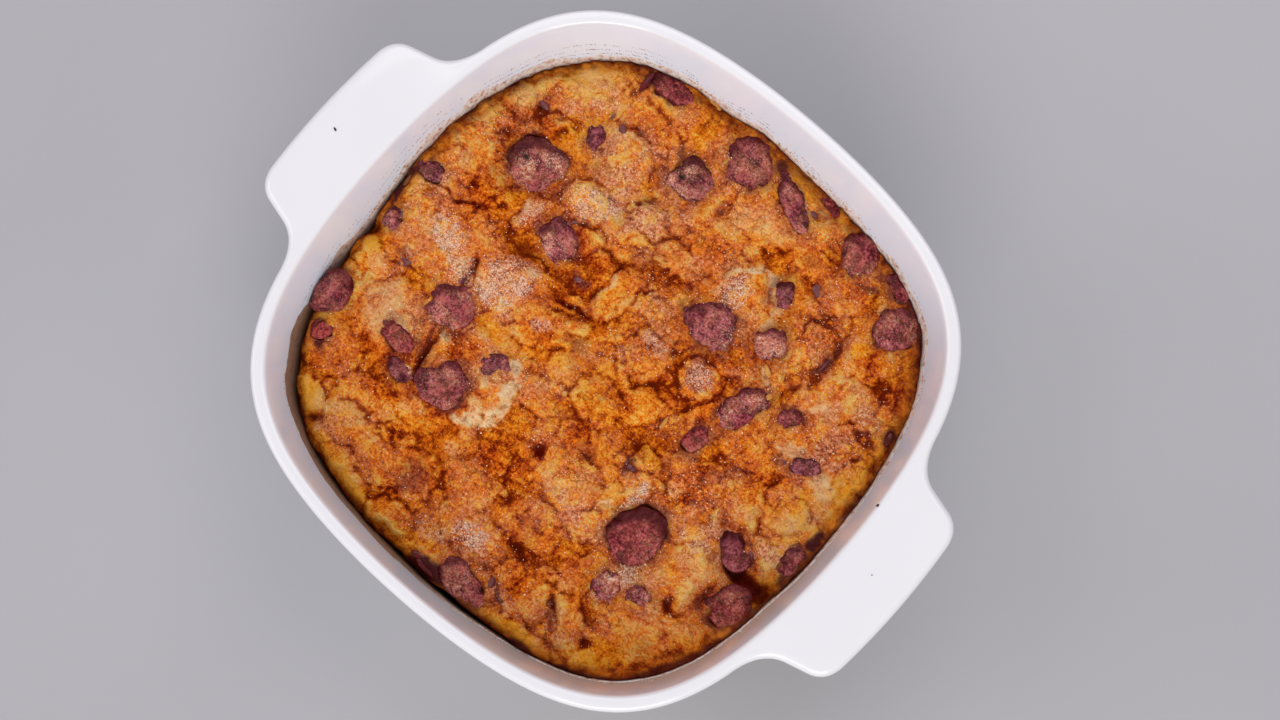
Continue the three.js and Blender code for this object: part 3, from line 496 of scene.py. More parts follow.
PLUM_STAINS = [
    (-28, -84, 15, 18, 20, 0.7), (-53, 58, 12, 11, 0, 0.6), (-31, 60, 7, 12, -40, 0.6),
    (-18, 43, 9, 8, 0, 0.5), (-90, 64, 10, 6, -20, 0.9), (-65, 79, 6, 5, 40, 1), (-12, -3, 13, 9, 0, 0.8),
    (-30, 18.5, 9, 5, 0, 0.9), (-89, -20, 8, 9, 30, 0.9), (77, 16, 9, 8, 30, 0.9), (44, 78, 9, 6, -20, 0.8),
    (-82, 28, 18, 10, 0, 0.45), (-46, 36, 11, 5, 40, 0.9), (64, 61, 5, 17, 0, 0.9), (-7, 78, 4, 9, 0, 0.8),
    (35, 86, 14, 6, 0, 0.4), (20.5, 100, 7, 5, 0, 0.8), (35, -26, 7, 9, 0, 0.9), (17, -31, 9, 9, 0, 0.5),
    (-1, -28, 8, 6, 0, 0.4), (25, 28, 12, 7, 0, 0.5), (-96, -40, 12, 9, 0, 0.3), (20, -68, 14, 12, 0, 0.35),
    (-40, 22, 8, 8, 0, 0.7), (12, 20, 13, 7, 0, 0.4), (84, -76, 16, 12, 0, 0.3), (62, -60, 22, 15, 10, 0.8),
    (45, -9, 10, 6, 0, 0.5), (-15, 96, 26, 24, 0, 0.3), (14, 95, 24, 12, -30, 0.5),
    (-59, 100, 10, 14, 0, 0.5), (0, -93, 40, 10, 0, 0.3), (84, 91, 16, 10, -45, 1.2),
    (62, 99, 22, 9, -30, 1.1), (88, 30, 14, 8, 0, 0.3), (-35, 48, 14, 12, 0, 0.4), (-62, 38, 10, 8, 0, 0.5),
    (4, 47, 10, 12, 0, 0.4),
]
JUICE = [
    (1, -108, 24, 9, 0, 1), (-64.5, 97, 4, 14, 5, 1), (103, 53, 5, 9, 20, 1), (-110, 2, 5, 24, 0, 1),
    (-108, 12, 6, 10, 0, 0.8), (0, 108, 7, 10, 0, 0.9), (57, 92, 4, 12, -50, 0.6),
    (-95, -66, 7, 14, 30, 0.9), (107, -14, 6, 18, 0, 0.8), (109, 2, 5, 15, 0, 1), (105, -5, 7, 7, 0, 0.8),
    (111, 20, 4, 12, -10, 0.8), (17, -108, 26, 5, 0, 0.7), (90, -24, 14, 6, -10, 0.6),
    (33, -24, 6, 6, 0, 0.7), (85, 82, 8, 4, -30, 0.4), (-33, 82, 5, 12, 30, 0.6), (-86, 45, 3, 14, -15, 0.6),
    (45, -48, 4, 14, 25, 0.6), (70, 102, 34, 5, -30, 0.9), (89, 88, 18, 5, -48, 0.9),
    (60, -34, 12, 4, -30, 0.6), (-69, -22, 3, 12, 20, 0.5), (-60, -31, 14, 3, -25, 0.4),
    (98, -48, 12, 6, 20, 0.5),
]
WET = [
    (32, -2, 14, 14, 0, 0.9), (8, -13, 16, 12, 0, 0.6), (54, 37, 14, 10, -40, 0.9), (37, -42, 9, 9, 0, 0.9),
    (-4, -19, 10, 8, 0, 0.6), (85, 78, 18, 12, -30, 0.7), (24, 104, 12, 8, 0, 0.7), (2, -104, 30, 8, 0, 0.9),
    (30, -100, 18, 8, 0, 0.6), (38, -20, 12, 10, 0, 0.5), (90, -23, 22, 12, 0, 0.7), (34, 67, 10, 9, 0, 0.7),
    (-62, 95, 12, 16, 0, 0.6), (70, 100, 24, 8, -30, 0.5), (100, 44, 12, 20, 0, 0.4),
    (-105, 8, 9, 20, 0, 0.6),
]


def rough(x, y, cell, seed):
    """Random height from -1 to 1: random numbers at the corners of square cells, blended by 3s^2 - 2s^3."""
    table = np.random.default_rng(seed).uniform(-1, 1, (64, 64))
    u, v = x / cell + 128, y / cell + 128
    i, j = np.floor(u).astype(int), np.floor(v).astype(int)
    s, t = u - i, v - j
    s, t = s * s * (3 - 2 * s), t * t * (3 - 2 * t)
    near = table[i % 64, j % 64] * (1 - s) + table[(i + 1) % 64, j % 64] * s
    far = table[i % 64, (j + 1) % 64] * (1 - s) + table[(i + 1) % 64, (j + 1) % 64] * s
    return near * (1 - t) + far * t


def crags(x, y, *layers):
    """Lumps with sharp creases: amount * |random height| summed over layers of amount, cell and seed."""
    return sum(amount * np.abs(rough(x, y, cell, seed)) for amount, cell, seed in layers)


def pushed(x, y, *layers):
    """Points pushed about at random; each layer is an amount, a cell and one seed each for x and y."""
    pushed_x, pushed_y = x, y
    for amount, cell, seed_x, seed_y in layers:
        pushed_x = pushed_x + amount * rough(x, y, cell, seed_x)
        pushed_y = pushed_y + amount * rough(x, y, cell, seed_y)
    return pushed_x, pushed_y


def turned(x, y, angle):
    """Coordinates along and across an axis at an angle."""
    return x * np.cos(angle) + y * np.sin(angle), y * np.cos(angle) - x * np.sin(angle)


def oval_distance(x, y, oval, power=2.0):
    """Distance from the middle of a turned oval, 1 on its edge."""
    along, across = turned(x - oval[0], y - oval[1], math.radians(oval[4]))
    return super_distance(along / (oval[2] / 2), across / (oval[3] / 2), power)


def beside(x, y, spot, reach):
    """Which points lie in the square of a half-width about a spot."""
    return (np.abs(x - spot[0]) < reach) & (np.abs(y - spot[1]) < reach)


def spots(x, y, ovals):
    """The strongest of several soft ovals at each point."""
    value = np.zeros_like(x)
    for oval in ovals:
        value = np.maximum(value, oval[5] * (1 - rise_between(oval_distance(x, y, oval), 0.55, 1.15)))
    return value


def shrunk(angle):
    """1 on the side where the pudding has come away from the dish, 0 where it touches."""
    return rise_between(facing(angle, SHRINK_BEARING), 0.25, 0.7)


def edge_rise(angle):
    """Extra height of the edge, rise * exp(-(bearing from the middle of a stretch / its extent)^2)."""
    total = np.zeros_like(angle)
    for middle, extent, rise in RISEN:
        away = (np.degrees(angle) - middle + 900) % 360 - 180
        total = total + rise * np.exp(-(away / extent) ** 2)
    return total


def inner_half(height):
    """Half-width of the dish's inside at a height."""
    profile = np.array(INNER_PROFILE[5:-1])[::-1]
    return np.interp(height, profile[:, 1], profile[:, 0])


def seeded_lumps():
    """Small lumps of crumb all over the top, in the same form as the slices, drawn from one seed."""
    draw = np.random.default_rng(7)
    ranges = (((-BREAD_HALF, BREAD_HALF), 2), ((3.5, 11), 2), ((0, 180), 1), ((0.1, 1), 1))
    return np.column_stack([draw.uniform(*ends, (LUMPS, columns)) for ends, columns in ranges]).tolist()


def slice_relief(x, y):
    """Height of the slices: a smooth highest of all domes rise * (1 - distance^5), each leaning a little."""
    ragged_x, ragged_y = pushed(x, y, (2.2, 6, 11, 13), (1.2, 2.4, 12, 14))
    total = np.full(x.shape, math.exp(-SLICE_BLEND * CUSTARD_DIP))
    for dome in SLICES + seeded_lumps():
        middle_x, middle_y, length, width, turn, rise = dome
        near = beside(x, y, dome, max(length, width) * 0.8 + 3)
        distance = oval_distance(ragged_x[near], ragged_y[near], dome, 2.6)
        lean = 0.9 * math.sin(7 * middle_x + 3 * middle_y) * (x[near] - middle_x) / length * 2
        pitch = 0.7 * math.sin(5 * middle_x - 4 * middle_y) * (y[near] - middle_y) / width * 2
        height = rise * (1 - distance ** 5) + lean + pitch
        total[near] += np.exp(np.clip(SLICE_BLEND * height, -30, 30))
    return SLICE_SHARE * np.log(total) / SLICE_BLEND


def flap_relief(x, y):
    """Lift of the flaps: sharp-edged squarish ovals, lift * (0.25 + 0.75 * share of the way to the lip)."""
    ragged_x, ragged_y = pushed(x, y, (1.1, 5, 15, 17), (0.6, 2.1, 16, 18))
    height = np.zeros_like(x)
    for flap in FLAPS:
        middle_x, middle_y, length, width, turn, lift, lip = flap
        way = turned(x - middle_x, y - middle_y, math.radians(lip))[0] / (length + width) * 4
        edge = 1 - rise_between(oval_distance(ragged_x, ragged_y, flap, 3.2), 0.9, 1.06)
        height = np.maximum(height, lift * (0.25 + 0.75 * rise_between(way, -0.8, 1.0)) * edge)
    return height


def crumb_relief(x, y):
    """Fine crags: four layers of lumps with sharp creases, the coarser three over pushed-about places."""
    place = pushed(x, y, (2.2, 6, 35, 36), (0.8, 2.4, 37, 38))
    return crags(*place, (1.5, 12, 39), (0.9, 6, 31), (0.6, 3.2, 32)) + crags(x, y, (0.4, 1.9, 33)) - 1.2


def dents(x, y):
    """Depth of the hollows and of the wandering cracks, each depth * exp(-distance^2)."""
    wander_x, wander_y = pushed(x, y, (2.6, 6, 21, 22), (0.8, 2.2, 23, 24))
    depth = np.zeros_like(x)
    for hollow in HOLLOWS:
        depth = depth + hollow[5] * np.exp(-oval_distance(x, y, hollow) ** 2)
    for crack in CRACKS:
        depth = depth + 0.7 * crack[5] * np.exp(-oval_distance(wander_x, wander_y, crack) ** 2)
    return depth


def to_edge(x, y):
    """Bearing of points of the top, and their distance to its edge."""
    angle = np.arctan2(y, x)
    return angle, BREAD_HALF * outline(angle) - np.hypot(x, y)


def bread_surface(x, y):
    """Height of the bread, edge + crown * (1 - share^2) + relief, and the relief of slices and flaps."""
    angle, edge = to_edge(x, y)
    share = 1 - np.clip(edge, 0, None) / BREAD_HALF
    relief = slice_relief(x, y) + flap_relief(x, y)
    risen = edge_rise(angle) * (1 - rise_between(edge, 0, RISEN_WIDTH))
    level = EDGE_LEVEL + CROWN * (1 - share ** 2) + risen + relief + crumb_relief(x, y)
    return level - SHRINK_DROP * shrunk(angle) * rise_between(EDGE_ROLL - edge, 0, EDGE_ROLL) ** 2, relief


def unevenness(angle, number):
    """Uneven outline from above: 1 plus four waves, each amount * sin(count * angle + shift * number)."""
    waves = ((0.052, 2, 1.7), (0.042, 3, 2.9), (0.022, 5, 4.1), (0.012, 8, 1.3))
    return 1 + sum(amount * np.sin(count * angle + shift * number) for amount, count, shift in waves)


def squareness(number):
    """Power of a cherry's oval plan: 2 is round, 3 is squarish."""
    return 2.0 + 0.5 * (number % 3)


def cherry_ring(x, y, cherry, number):
    """Distance from a cherry's middle as a share of its uneven outline."""
    along, across = turned(x - cherry.x, y - cherry.y, math.radians(cherry.turn))
    along, across = along / (cherry.length / 2), across / (cherry.width / 2)
    return super_distance(along, across, squareness(number)) / unevenness(np.arctan2(across, along), number)


def outside_cherry(x, y, cherry, number):
    """Millimetres outside a cherry's outline, below 0 within it."""
    return (cherry_ring(x, y, cherry, number) - 1) * (cherry.length + cherry.width) / 4


def cherry_dome(cherry):
    """How far a cherry's top stands over its shoulder: little where it lies flush, more where proud."""
    return 0.09 * min(cherry.length, cherry.width) + (0.35 * cherry.rise if cherry.rise > PROUD_RISE else 0)


def cherry_top(number):
    """Height of the top of a cherry's node."""
    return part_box(f"cherry_{number + 1:02d}")[1][2] / MM


def bed_cherries(x, y, level):
    """The bread drawn up to each cherry's shoulder, and a second height that also drops under the cherry."""
    carved = np.full_like(level, NOT_CARVED)
    for number, cherry in enumerate(CHERRIES):
        near = beside(x, y, cherry, max(cherry.length, cherry.width) / 2 + 14)
        px, py = x[near], y[near]
        away = outside_cherry(px, py, cherry, number)
        side = PIT_LEAN[0] * (px - cherry.x) + PIT_LEAN[1] * (py - cherry.y)
        side = side / np.maximum(np.hypot(px - cherry.x, py - cherry.y), 0.5)
        pit = max(cherry.pit - CLOSED_PIT, 0)
        lap = 1.0 * rough(px, py, 5.0, 63) + 0.8 * crumb_relief(px, py)
        rest = cherry_top(number) - 0.6 * cherry_dome(cherry) + pit * (0.5 + 1.1 * side) + lap
        bound = 0.92 if cherry.rise < LOOSE_RISE else 0.2
        level[near] += (rest - level[near]) * bound * np.exp(-(np.clip(away, 0, None) / CHERRY_DRAW) ** 2)
        ragged = 1.2 - 0.4 * min(cherry.pit, 2.2)
        frayed = ragged * (1.5 * rough(px, py, 5.0, 64) + 0.9 * rough(px, py, 2.0, 61) - 0.5)
        inside = np.clip(pit * (0.2 + 0.8 * side) + frayed - away, 0, None)
        under = np.where(inside > 0, level[near] - np.minimum(PIT_SLOPE * inside, PIT_DEPTH), NOT_CARVED)
        carved[near] = np.minimum(carved[near], under)
    return level, np.minimum(level, carved)


def cherry_halo(x, y):
    """Stain round the cherries, exp(-(millimetres outside the outline / reach)^2), the deepest of all."""
    halo = np.zeros_like(x)
    for number, cherry in enumerate(CHERRIES):
        near = beside(x, y, cherry, max(cherry.length, cherry.width) / 2 + 8)
        away = outside_cherry(x[near], y[near], cherry, number)
        halo[near] = np.maximum(halo[near], np.exp(-(np.clip(away, 0, None) / HALO_REACH) ** 2))
    return halo


def blurred(field, reach):
    """Field smoothed along both axes of its grid by three running means over 2 * reach + 1 cells."""
    width = 2 * reach + 1
    for axis in (0, 1) * 3:
        pad = [(0, 0), (0, 0)]
        pad[axis] = (reach + 1, reach)
        total = np.cumsum(np.pad(field, pad, mode="edge"), axis)
        field = (np.take(total, range(width, total.shape[axis]), axis)
                 - np.take(total, range(total.shape[axis] - width), axis)) / width
    return field


def cinnamon_sugar_group():
    """Cinnamon and sugar strewn on top: a tan film with dark specks, and fine pale crystals."""
    group = bpy.data.node_groups.new("cinnamon_sugar", "ShaderNodeTree")
    sockets = (("INPUT", "Colour", "Color"), ("INPUT", "Dust", "Float"), ("INPUT", "Crystals", "Float"),
               ("OUTPUT", "Colour", "Color"), ("OUTPUT", "Height", "Float"))
    for way, name, kind in sockets:
        group.interface.new_socket(name, in_out=way, socket_type=f"NodeSocket{kind}")
    add = node_maker(group)
    given = add("NodeGroupInput").outputs
    place = add("ShaderNodeTexCoord").outputs["Object"]
    grain = speckle(add, place, 780, 4, 0.75)
    film = ramp(add, grain, (0.36, (0.32, 0.036, 0.007)), (0.46, (0.66, 0.143, 0.037)),
                (0.53, (0.88, 0.242, 0.07)), (0.62, (1, 0.55, 0.28)))
    clumps = ramp(add, grain, (0.42, (0.3, 0.1, 0.05)), (0.5, (0.66, 0.37, 0.24)), (0.57, (1, 0.88, 0.77)))
    film = mixed(add, product(add, given["Crystals"], 0.8), film, clumps)
    patch = ramp(add, speckle(add, place, 150, 5, 0.66), (0.44, 0.12), (0.54, 1.0))
    colour = mixed(add, product(add, given["Dust"], patch), given["Colour"], film)
    fine = ramp(add, speckle(add, place, 1500, 2, 0.6), (0.55, 0.0), (0.61, 1.0))
    colour = mixed(add, product(add, fine, given["Crystals"]), colour, (1, 0.76, 0.57))
    add("NodeGroupOutput", {"Colour": colour, "Height": grain})


def dusted(add, colour, dust, crystals):
    """Cinnamon sugar laid over a colour: the group's colour and height."""
    node = add("ShaderNodeGroup", {"Colour": colour, "Dust": dust, "Crystals": crystals},
               node_tree=bpy.data.node_groups["cinnamon_sugar"])
    return node.outputs["Colour"], node.outputs["Height"]


def flakes(add, place, scale, wander):
    """Voronoi cells with wandering borders: a random grey for each cell, and the distance to its border."""
    noise = add("ShaderNodeTexNoise", {"Vector": place, "Scale": scale * 1.6, "Detail": 4.0}).outputs["Color"]
    push = add("ShaderNodeVectorMath", {0: noise, 1: (0.5, 0.5, 0.5)}, operation="SUBTRACT").outputs[0]
    push = add("ShaderNodeVectorMath", {"Vector": push, "Scale": wander}, operation="SCALE").outputs[0]
    moved = add("ShaderNodeVectorMath", {0: place, 1: push}, operation="ADD").outputs[0]
    cell = add("ShaderNodeTexVoronoi", {"Vector": moved, "Scale": scale}).outputs["Color"]
    border = add("ShaderNodeTexVoronoi", {"Vector": moved, "Scale": scale}, feature="DISTANCE_TO_EDGE")
    return weighted(add, (cell, 1.0), start=-0.5), border.outputs["Distance"]


def crust_material():
    """Browned crust: golden and toasted mottles, mustard custard in the dips, cinnamon sugar on top; painted
    shade in creases, along flake borders and in the gap at the edge, and painted light on ridges.
    """
    material, add, shader, place = new_material("baked_bread")
    mottle = speckle(add, place, 950, 4, 0.72)
    patchy = speckle(add, place, 170, 4, 0.62)
    cloud = speckle(add, place, 44, 2, 0.5)
    steep = ramp(add, patchy, (0.4, 0.44), (0.47, 0.48), (0.53, 0.54), (0.62, 0.58))
    large, border = flakes(add, place, 135, 0.012)
    small = flakes(add, place, 330, 0.005)[0]
    tone_with_painted_relief_shading = weighted(add, (mottle, 0.54), (steep, 0.22), (cloud, 0.24), (large, 0.1), (small, 0.08),
                    (mark(add, "tone_with_painted_relief_shading"), 1.0))
    crust = ramp(add, tone_with_painted_relief_shading, (0.37, (0.14, 0.007, 0.001)), (0.43, (0.42, 0.044, 0.002)),
                 (0.5, (0.79, 0.146, 0.008)), (0.56, (1, 0.275, 0.014)),
                 (0.61, (1, 0.44, 0.048)), (0.68, (1, 0.61, 0.15)))
    custard = ramp(add, tone_with_painted_relief_shading, (0.4, (0.34, 0.045, 0.001)), (0.5, (0.78, 0.205, 0.005)),
                   (0.6, (1, 0.41, 0.02)))
    colour = mixed(add, mark(add, "custard"), crust, custard)
    cream = ramp(add, tone_with_painted_relief_shading, (0.42, (0.62, 0.2, 0.04)), (0.5, (0.94, 0.48, 0.18)), (0.58, (1, 0.7, 0.38)))
    broken = ramp(add, patchy, (0.38, 0.35), (0.55, 1.0))
    colour = mixed(add, product(add, mark(add, "cream"), broken), colour, cream)
    plum = ramp(add, mottle, (0.38, (0.08, 0.008, 0.006)), (0.6, (0.28, 0.066, 0.048)))
    broken = ramp(add, patchy, (0.36, 0.3), (0.52, 1.0))
    colour = mixed(add, product(add, mark(add, "plum"), broken), colour, plum)
    colour, grain = dusted(add, colour, mark(add, "dust"), mark(add, "crystals"))
    # Painted shade: darkened lines along the flake borders, joined with the painted shade in creases and
    # hollows from the mesh.
    painted_seam_shade = ramp(add, border, (0.0, 0.6), (0.06, 0.0))
    painted_seam_shade = product(add, painted_seam_shade, ramp(add, cloud, (0.42, 1.0), (0.52, 0.0)))
    painted_crease_shade = add("ShaderNodeMath", {0: mark(add, "painted_crease_shade"), 1: painted_seam_shade}, operation="MAXIMUM").outputs[0]
    colour = mixed(add, painted_crease_shade, colour, (0.14, 0.006, 0.002))
    side = ramp(add, patchy, (0.4, (0.16, 0.014, 0.002)), (0.5, (0.46, 0.085, 0.004)),
                (0.6, (0.84, 0.24, 0.012)))
    colour = mixed(add, mark(add, "side"), colour, side)
    # Deep red for the juice spots, and for the painted shade in the gap at the edge.
    colour = mixed(add, mark(add, "juice"), colour, (0.085, 0.004, 0.004))
    wet = mark(add, "wet")
    gloss = product(add, ramp(add, mottle, (0.3, 0.52), (0.7, 0.8)), weighted(add, (wet, -0.74), start=1.0))
    ledge = ramp(add, border, (0.0, 0.0), (0.12, 0.3))
    height = weighted(add, (grain, 0.5), (mottle, 0.8), (small, 0.35), (ledge, 1.0))
    crumb = add("ShaderNodeBump", {"Height": height, "Strength": 1.0, "Distance": 0.0015})
    plug(shader, Base_Color=colour, Roughness=gloss, Normal=crumb.outputs["Normal"])
    plug(shader, Coat_Weight=product(add, wet, 0.4), Coat_Roughness=0.12, Specular_IOR_Level=0.03)
    return material


def bread_marks(x, y, relief, crisp, bump, swell, dent):
    """Where the crust is dark, pale, dusted, wet and so on, from its form and from the placed spots. From its
    form come painted light on ridges and painted shade in creases, hollows and the gap at the edge.
    """
    angle, edge = to_edge(x, y)
    wobble = pushed(x, y, (1.8, 5, 41, 42), (1.0, 2, 45, 46))
    toasted, golden, cream, sugar = (spots(*wobble, ovals) for ovals in (TOASTED, GOLDEN, CREAM, SUGARED))
    custard, plum, juice, wet = (spots(*wobble, ovals) for ovals in (CUSTARD, PLUM_STAINS, JUICE, WET))
    broad, middling = rough(x, y, 26, 49), rough(x, y, 11, 50)
    near_wall = 1 - rise_between(edge + 2 * rough(x, y, 8, 47), 1, 13)
    # Painted shade in the gap between the bread and the wall: a narrow band all round, wider on one side.
    edge_shade_band = 1 - rise_between(edge - 1.0 * rough(x, y, 9, 43), 0.5, 2.2)
    painted_gap_shade = 1 - rise_between(edge + 1.3 * rough(x, y, 8, 47) + 0.6 * rough(x, y, 3, 48), 1.6, 3.6)
    painted_gap_shade = painted_gap_shade * np.clip(0.3 + 0.7 * facing(angle, GAP_SHADE_BEARING), 0, 1)
    valley = 1 - rise_between(relief + 0.4 * rough(x, y, 3, 48), -0.5, 0.9)
    # The crisp, bump and swell terms paint light on ridges and lips and shade in hollows, from the top's
    # curvature; the other terms are the crust's own colour.
    tone_with_painted_relief_shading = (0.02 + 0.1 * np.clip(crisp, -0.4, 0.4) + 0.038 * np.clip(bump, -1.3, 1.6)
            + 0.019 * np.clip(swell, -3, 3) + 0.042 * broad + 0.036 * middling
            - 0.1 * toasted + 0.04 * cream + 0.044 * golden)
    dust = (0.46 + 0.42 * broad + 0.34 * middling + 0.1 * np.clip(bump, -1, 1) - 0.2 * valley - 0.6 * custard
            - 0.5 * toasted - 0.3 * cream)
    dust = np.clip(dust, 0, 1) * (1 - near_wall)
    dust = np.clip(np.maximum(dust, sugar * (0.75 + 0.3 * np.clip(bump, -1, 1))), 0, 1)
    # Painted shade in creases, cracks and hollows, from the top's curvature and depth.
    creases = [0.45 * rise_between(-crisp, 0.14, 0.55), 0.3 * rise_between(-bump, 0.7, 2.2),
               0.2 * rise_between(-swell, 1.8, 4.5), 0.8 * rise_between(dent, 2.0, 5.5)]
    shares = {
        "dust": dust,
        "crystals": 0.2 * dust + 0.9 * sugar,
        "custard": np.maximum(0.8 * custard, 0.4 * valley) + 0.3 * near_wall,
        "plum": np.maximum(0.8 * plum, cherry_halo(*wobble) * (0.55 + 0.4 * rough(x, y, 7, 51))),
        "painted_crease_shade": np.maximum.reduce(creases),
        "side": 0.75 * (1 - rise_between(edge, 2.5, 6.5)),
        # The juice mark holds the juice spots, plus painted shade in the gap at the edge.
        "juice": np.maximum.reduce([juice, 0.95 * painted_gap_shade, (0.45 + 0.5 * rough(x, y, 24, 44)) * edge_shade_band]),
        "wet": np.maximum.reduce([wet, 0.8 * juice, 0.35 * near_wall]),
    }
    shares = {name: np.clip(share, 0, 1) for name, share in shares.items()}
    return {"tone_with_painted_relief_shading": tone_with_painted_relief_shading, "cream": 0.95 * cream, **shares}


def make_bread():
    """A square grid stretched to the rounded square for the top, rings down the sides and a flat bottom."""
    line = np.linspace(-1, 1, TOP_CELLS + 1)
    v, u = np.meshgrid(line, line, indexing="ij")
    angle = np.arctan2(v, u)
    rim_x, rim_y = BREAD_HALF * np.cos(angle), BREAD_HALF * np.sin(angle)
    ragged = shrunk(angle) * (1.6 * rough(rim_x, rim_y, 13, 71) + 0.7 * rough(rim_x, rim_y, 4, 72))
    gap = np.maximum(TOUCH_GAP + (SHRINK_GAP - TOUCH_GAP) * shrunk(angle) + ragged, TOUCH_GAP)
    rim = BREAD_HALF * outline(angle) - gap - RIM_INSET
    rim_x, rim_y = rim * np.cos(angle), rim * np.sin(angle)
    edge_level = bread_surface(rim_x, rim_y)[0] - dents(rim_x, rim_y)
    radius = np.maximum(np.abs(u), np.abs(v)) * (inner_half(edge_level) - gap) * outline(angle)
    x, y = radius * np.cos(angle), radius * np.sin(angle)
    level, relief = bread_surface(x, y)
    whole, level = bed_cherries(x, y, level)
    dent = dents(x, y)
    whole, level = whole - dent, level - dent
    crisp, bump, swell = (whole - blurred(whole, reach) for reach in (1, 2, 7))

    stride = TOP_CELLS + 1
    order = np.arange(TOP_CELLS)
    ring = np.concatenate([order, order * stride + TOP_CELLS, stride ** 2 - 1 - order,
                           (TOP_CELLS - order) * stride])
    points = [np.column_stack([x.ravel(), y.ravel(), level.ravel()])]
    faces = grid_faces(stride, stride, False)
    edge = points[0][ring]
    around = np.arctan2(edge[:, 1], edge[:, 0])
    side_gap = gap.ravel()[ring]
    count = stride ** 2
    for share in (0.06, 0.15, 0.3, 0.5, 0.75, 0.93, 1.0):
        height = edge[:, 2] * (1 - share) + FLOOR_LEVEL * share
        lean = min(share * 2, 1)
        radius = (inner_half(height) - side_gap * (1 - lean) - TOUCH_GAP * lean) * outline(around)
        points.append(np.column_stack([radius * np.cos(around), radius * np.sin(around), height]))
        lower = count + np.arange(len(ring))
        count += len(ring)
        faces += np.stack([ring, lower, np.roll(lower, -1), np.roll(ring, -1)], 1).tolist()
        ring = lower
    points = np.concatenate(points + [[(0, 0, FLOOR_LEVEL)]])
    faces += fan(count, ring[::-1])

    below = np.zeros(len(points) - relief.size)
    fields = (np.concatenate([field.ravel(), below]) for field in (relief, crisp, bump, swell, dent))
    marks = bread_marks(points[:, 0], points[:, 1], *fields)
    bread = new_piece("baked_bread", points, faces, crust_material(), marks)
    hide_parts("bread_pudding")
    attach(bread, "root")
    return x, y, level, edge


cinnamon_sugar_group()
top_x, top_y, top_level, bread_edge = make_bread()

# ------------------------------------------------------------------ cherries
# Whole stoned sweet cherries, baked half sunk in the custard. The skin is wrinkled and dull with
# cinnamon sugar on top, and bare, deep red and glossy low on the sides; that band is also painted darker
# as shade and is widest on the side away from the light. Some show the hole of the stone, painted near
# black as shade.
# Holes: row of CHERRIES, counted from 0, and place on that cherry.
STONE_HOLES = {2: (-3.5, -1.5), 4: (-5.0, -0.5), 33: (9.0, 3.5)}
HOLE_REACH, HOLE_DEPTH = 1.5, 2.2
CHERRY_WALL_GAP = 0.55
SHADED_SIDE = (-0.66, 0.75)      # side away from the light, where the skin is left bare of sugar and painted darker as shade
CHERRY_COLUMNS = 64
SHOULDER_DROP = 1.2            # widest level below the edge of a cherry's cap
OPEN_PIT = 0.9                 # pit width from which a cherry's side lies bare


def cherry_material():
    """Mottled dark red to plum skin under cinnamon sugar, painted darker as shade low on the side away from
    the light.
    """
    material, add, shader, place = new_material("baked_cherry")
    mottle = weighted(add, (speckle(add, place, 900, 4, 0.7), 0.5), (speckle(add, place, 190, 4, 0.65), 0.5))
    red = ramp(add, mottle, (0.42, (0.065, 0.002, 0.003)), (0.5, (0.21, 0.012, 0.016)),
               (0.57, (0.46, 0.075, 0.064)))
    blue = ramp(add, mottle, (0.42, (0.042, 0.004, 0.01)), (0.5, (0.15, 0.02, 0.034)),
                (0.57, (0.38, 0.105, 0.13)))
    colour = mixed(add, mark(add, "tint"), red, blue)
    # Painted shade: the band low on the sides, widest on the side away from the light, darkened to a near
    # black red.
    colour = mixed(add, mark(add, "dark_skin_and_painted_shade"), colour, (0.055, 0.002, 0.004))
    dust = mark(add, "dust")
    colour, grain = dusted(add, colour, dust, product(add, dust, 0.7))
    # The stone holes are painted near black, as shade in the hole.
    colour = mixed(add, mark(add, "hole"), colour, (0.03, 0.022, 0.014))
    height = weighted(add, (grain, 0.5), (mottle, 0.8))
    crumb = add("ShaderNodeBump", {"Height": height, "Strength": 0.8, "Distance": 0.0010})
    plug(shader, Base_Color=colour, Roughness=weighted(add, (dust, 0.45), start=0.3),
         Normal=crumb.outputs["Normal"])
    plug(shader, Coat_Weight=0.05, Coat_Roughness=0.2, Specular_IOR_Level=0.12)
    return material


def cherry_skin(cherry, number, top, dome, columns):
    """Closed skin of a cherry: a cap, top - dome * share^2.2, on a deep rounded body of uneven oval plan."""
    shoulder = top - dome - SHOULDER_DROP
    latitude = np.radians(np.linspace(-78, 0, 9))
    depth = shoulder + (cherry.thickness - dome - SHOULDER_DROP) * np.sin(latitude)
    share = np.concatenate([[1.0, 0.97, 0.93], np.linspace(0.88, 0.06, 14)])
    plan = np.concatenate([1.03 * np.cos(latitude) ** 0.7, [1.028], share])[:, None]
    height = np.concatenate([depth, [shoulder + 0.6], top - dome * share ** 2.2])[:, None]
    longitude = np.linspace(0, 2 * math.pi, columns, endpoint=False)[None, :]
    c, s = np.cos(longitude), np.sin(longitude)
    spread = plan * unevenness(longitude, number) / super_distance(c, s, squareness(number))
    x, y = turned(cherry.length / 2 * spread * c, cherry.width / 2 * spread * s, -math.radians(cherry.turn))
    x, y = x + cherry.x, y + cherry.y
    limit = (inner_half(height) - CHERRY_WALL_GAP) * outline(np.arctan2(y, x))
    pressed = np.minimum(1, limit / np.hypot(x, y))
    x, y = x * pressed, y * pressed
    wrinkle = crags(x, y, (1.3, 4.5, 53), (0.9, 2.4, 54)) + 0.3 * rough(x, y, 1.3, 55) - 1.0
    grid = np.stack([x, y, height + np.where(height > shoulder + 0.1, wrinkle, 0)], -1)
    lowest, highest = top - cherry.thickness, grid[-1, :, 2].mean()
    return closed_rings(grid, (cherry.x, cherry.y, lowest), (cherry.x, cherry.y, highest))


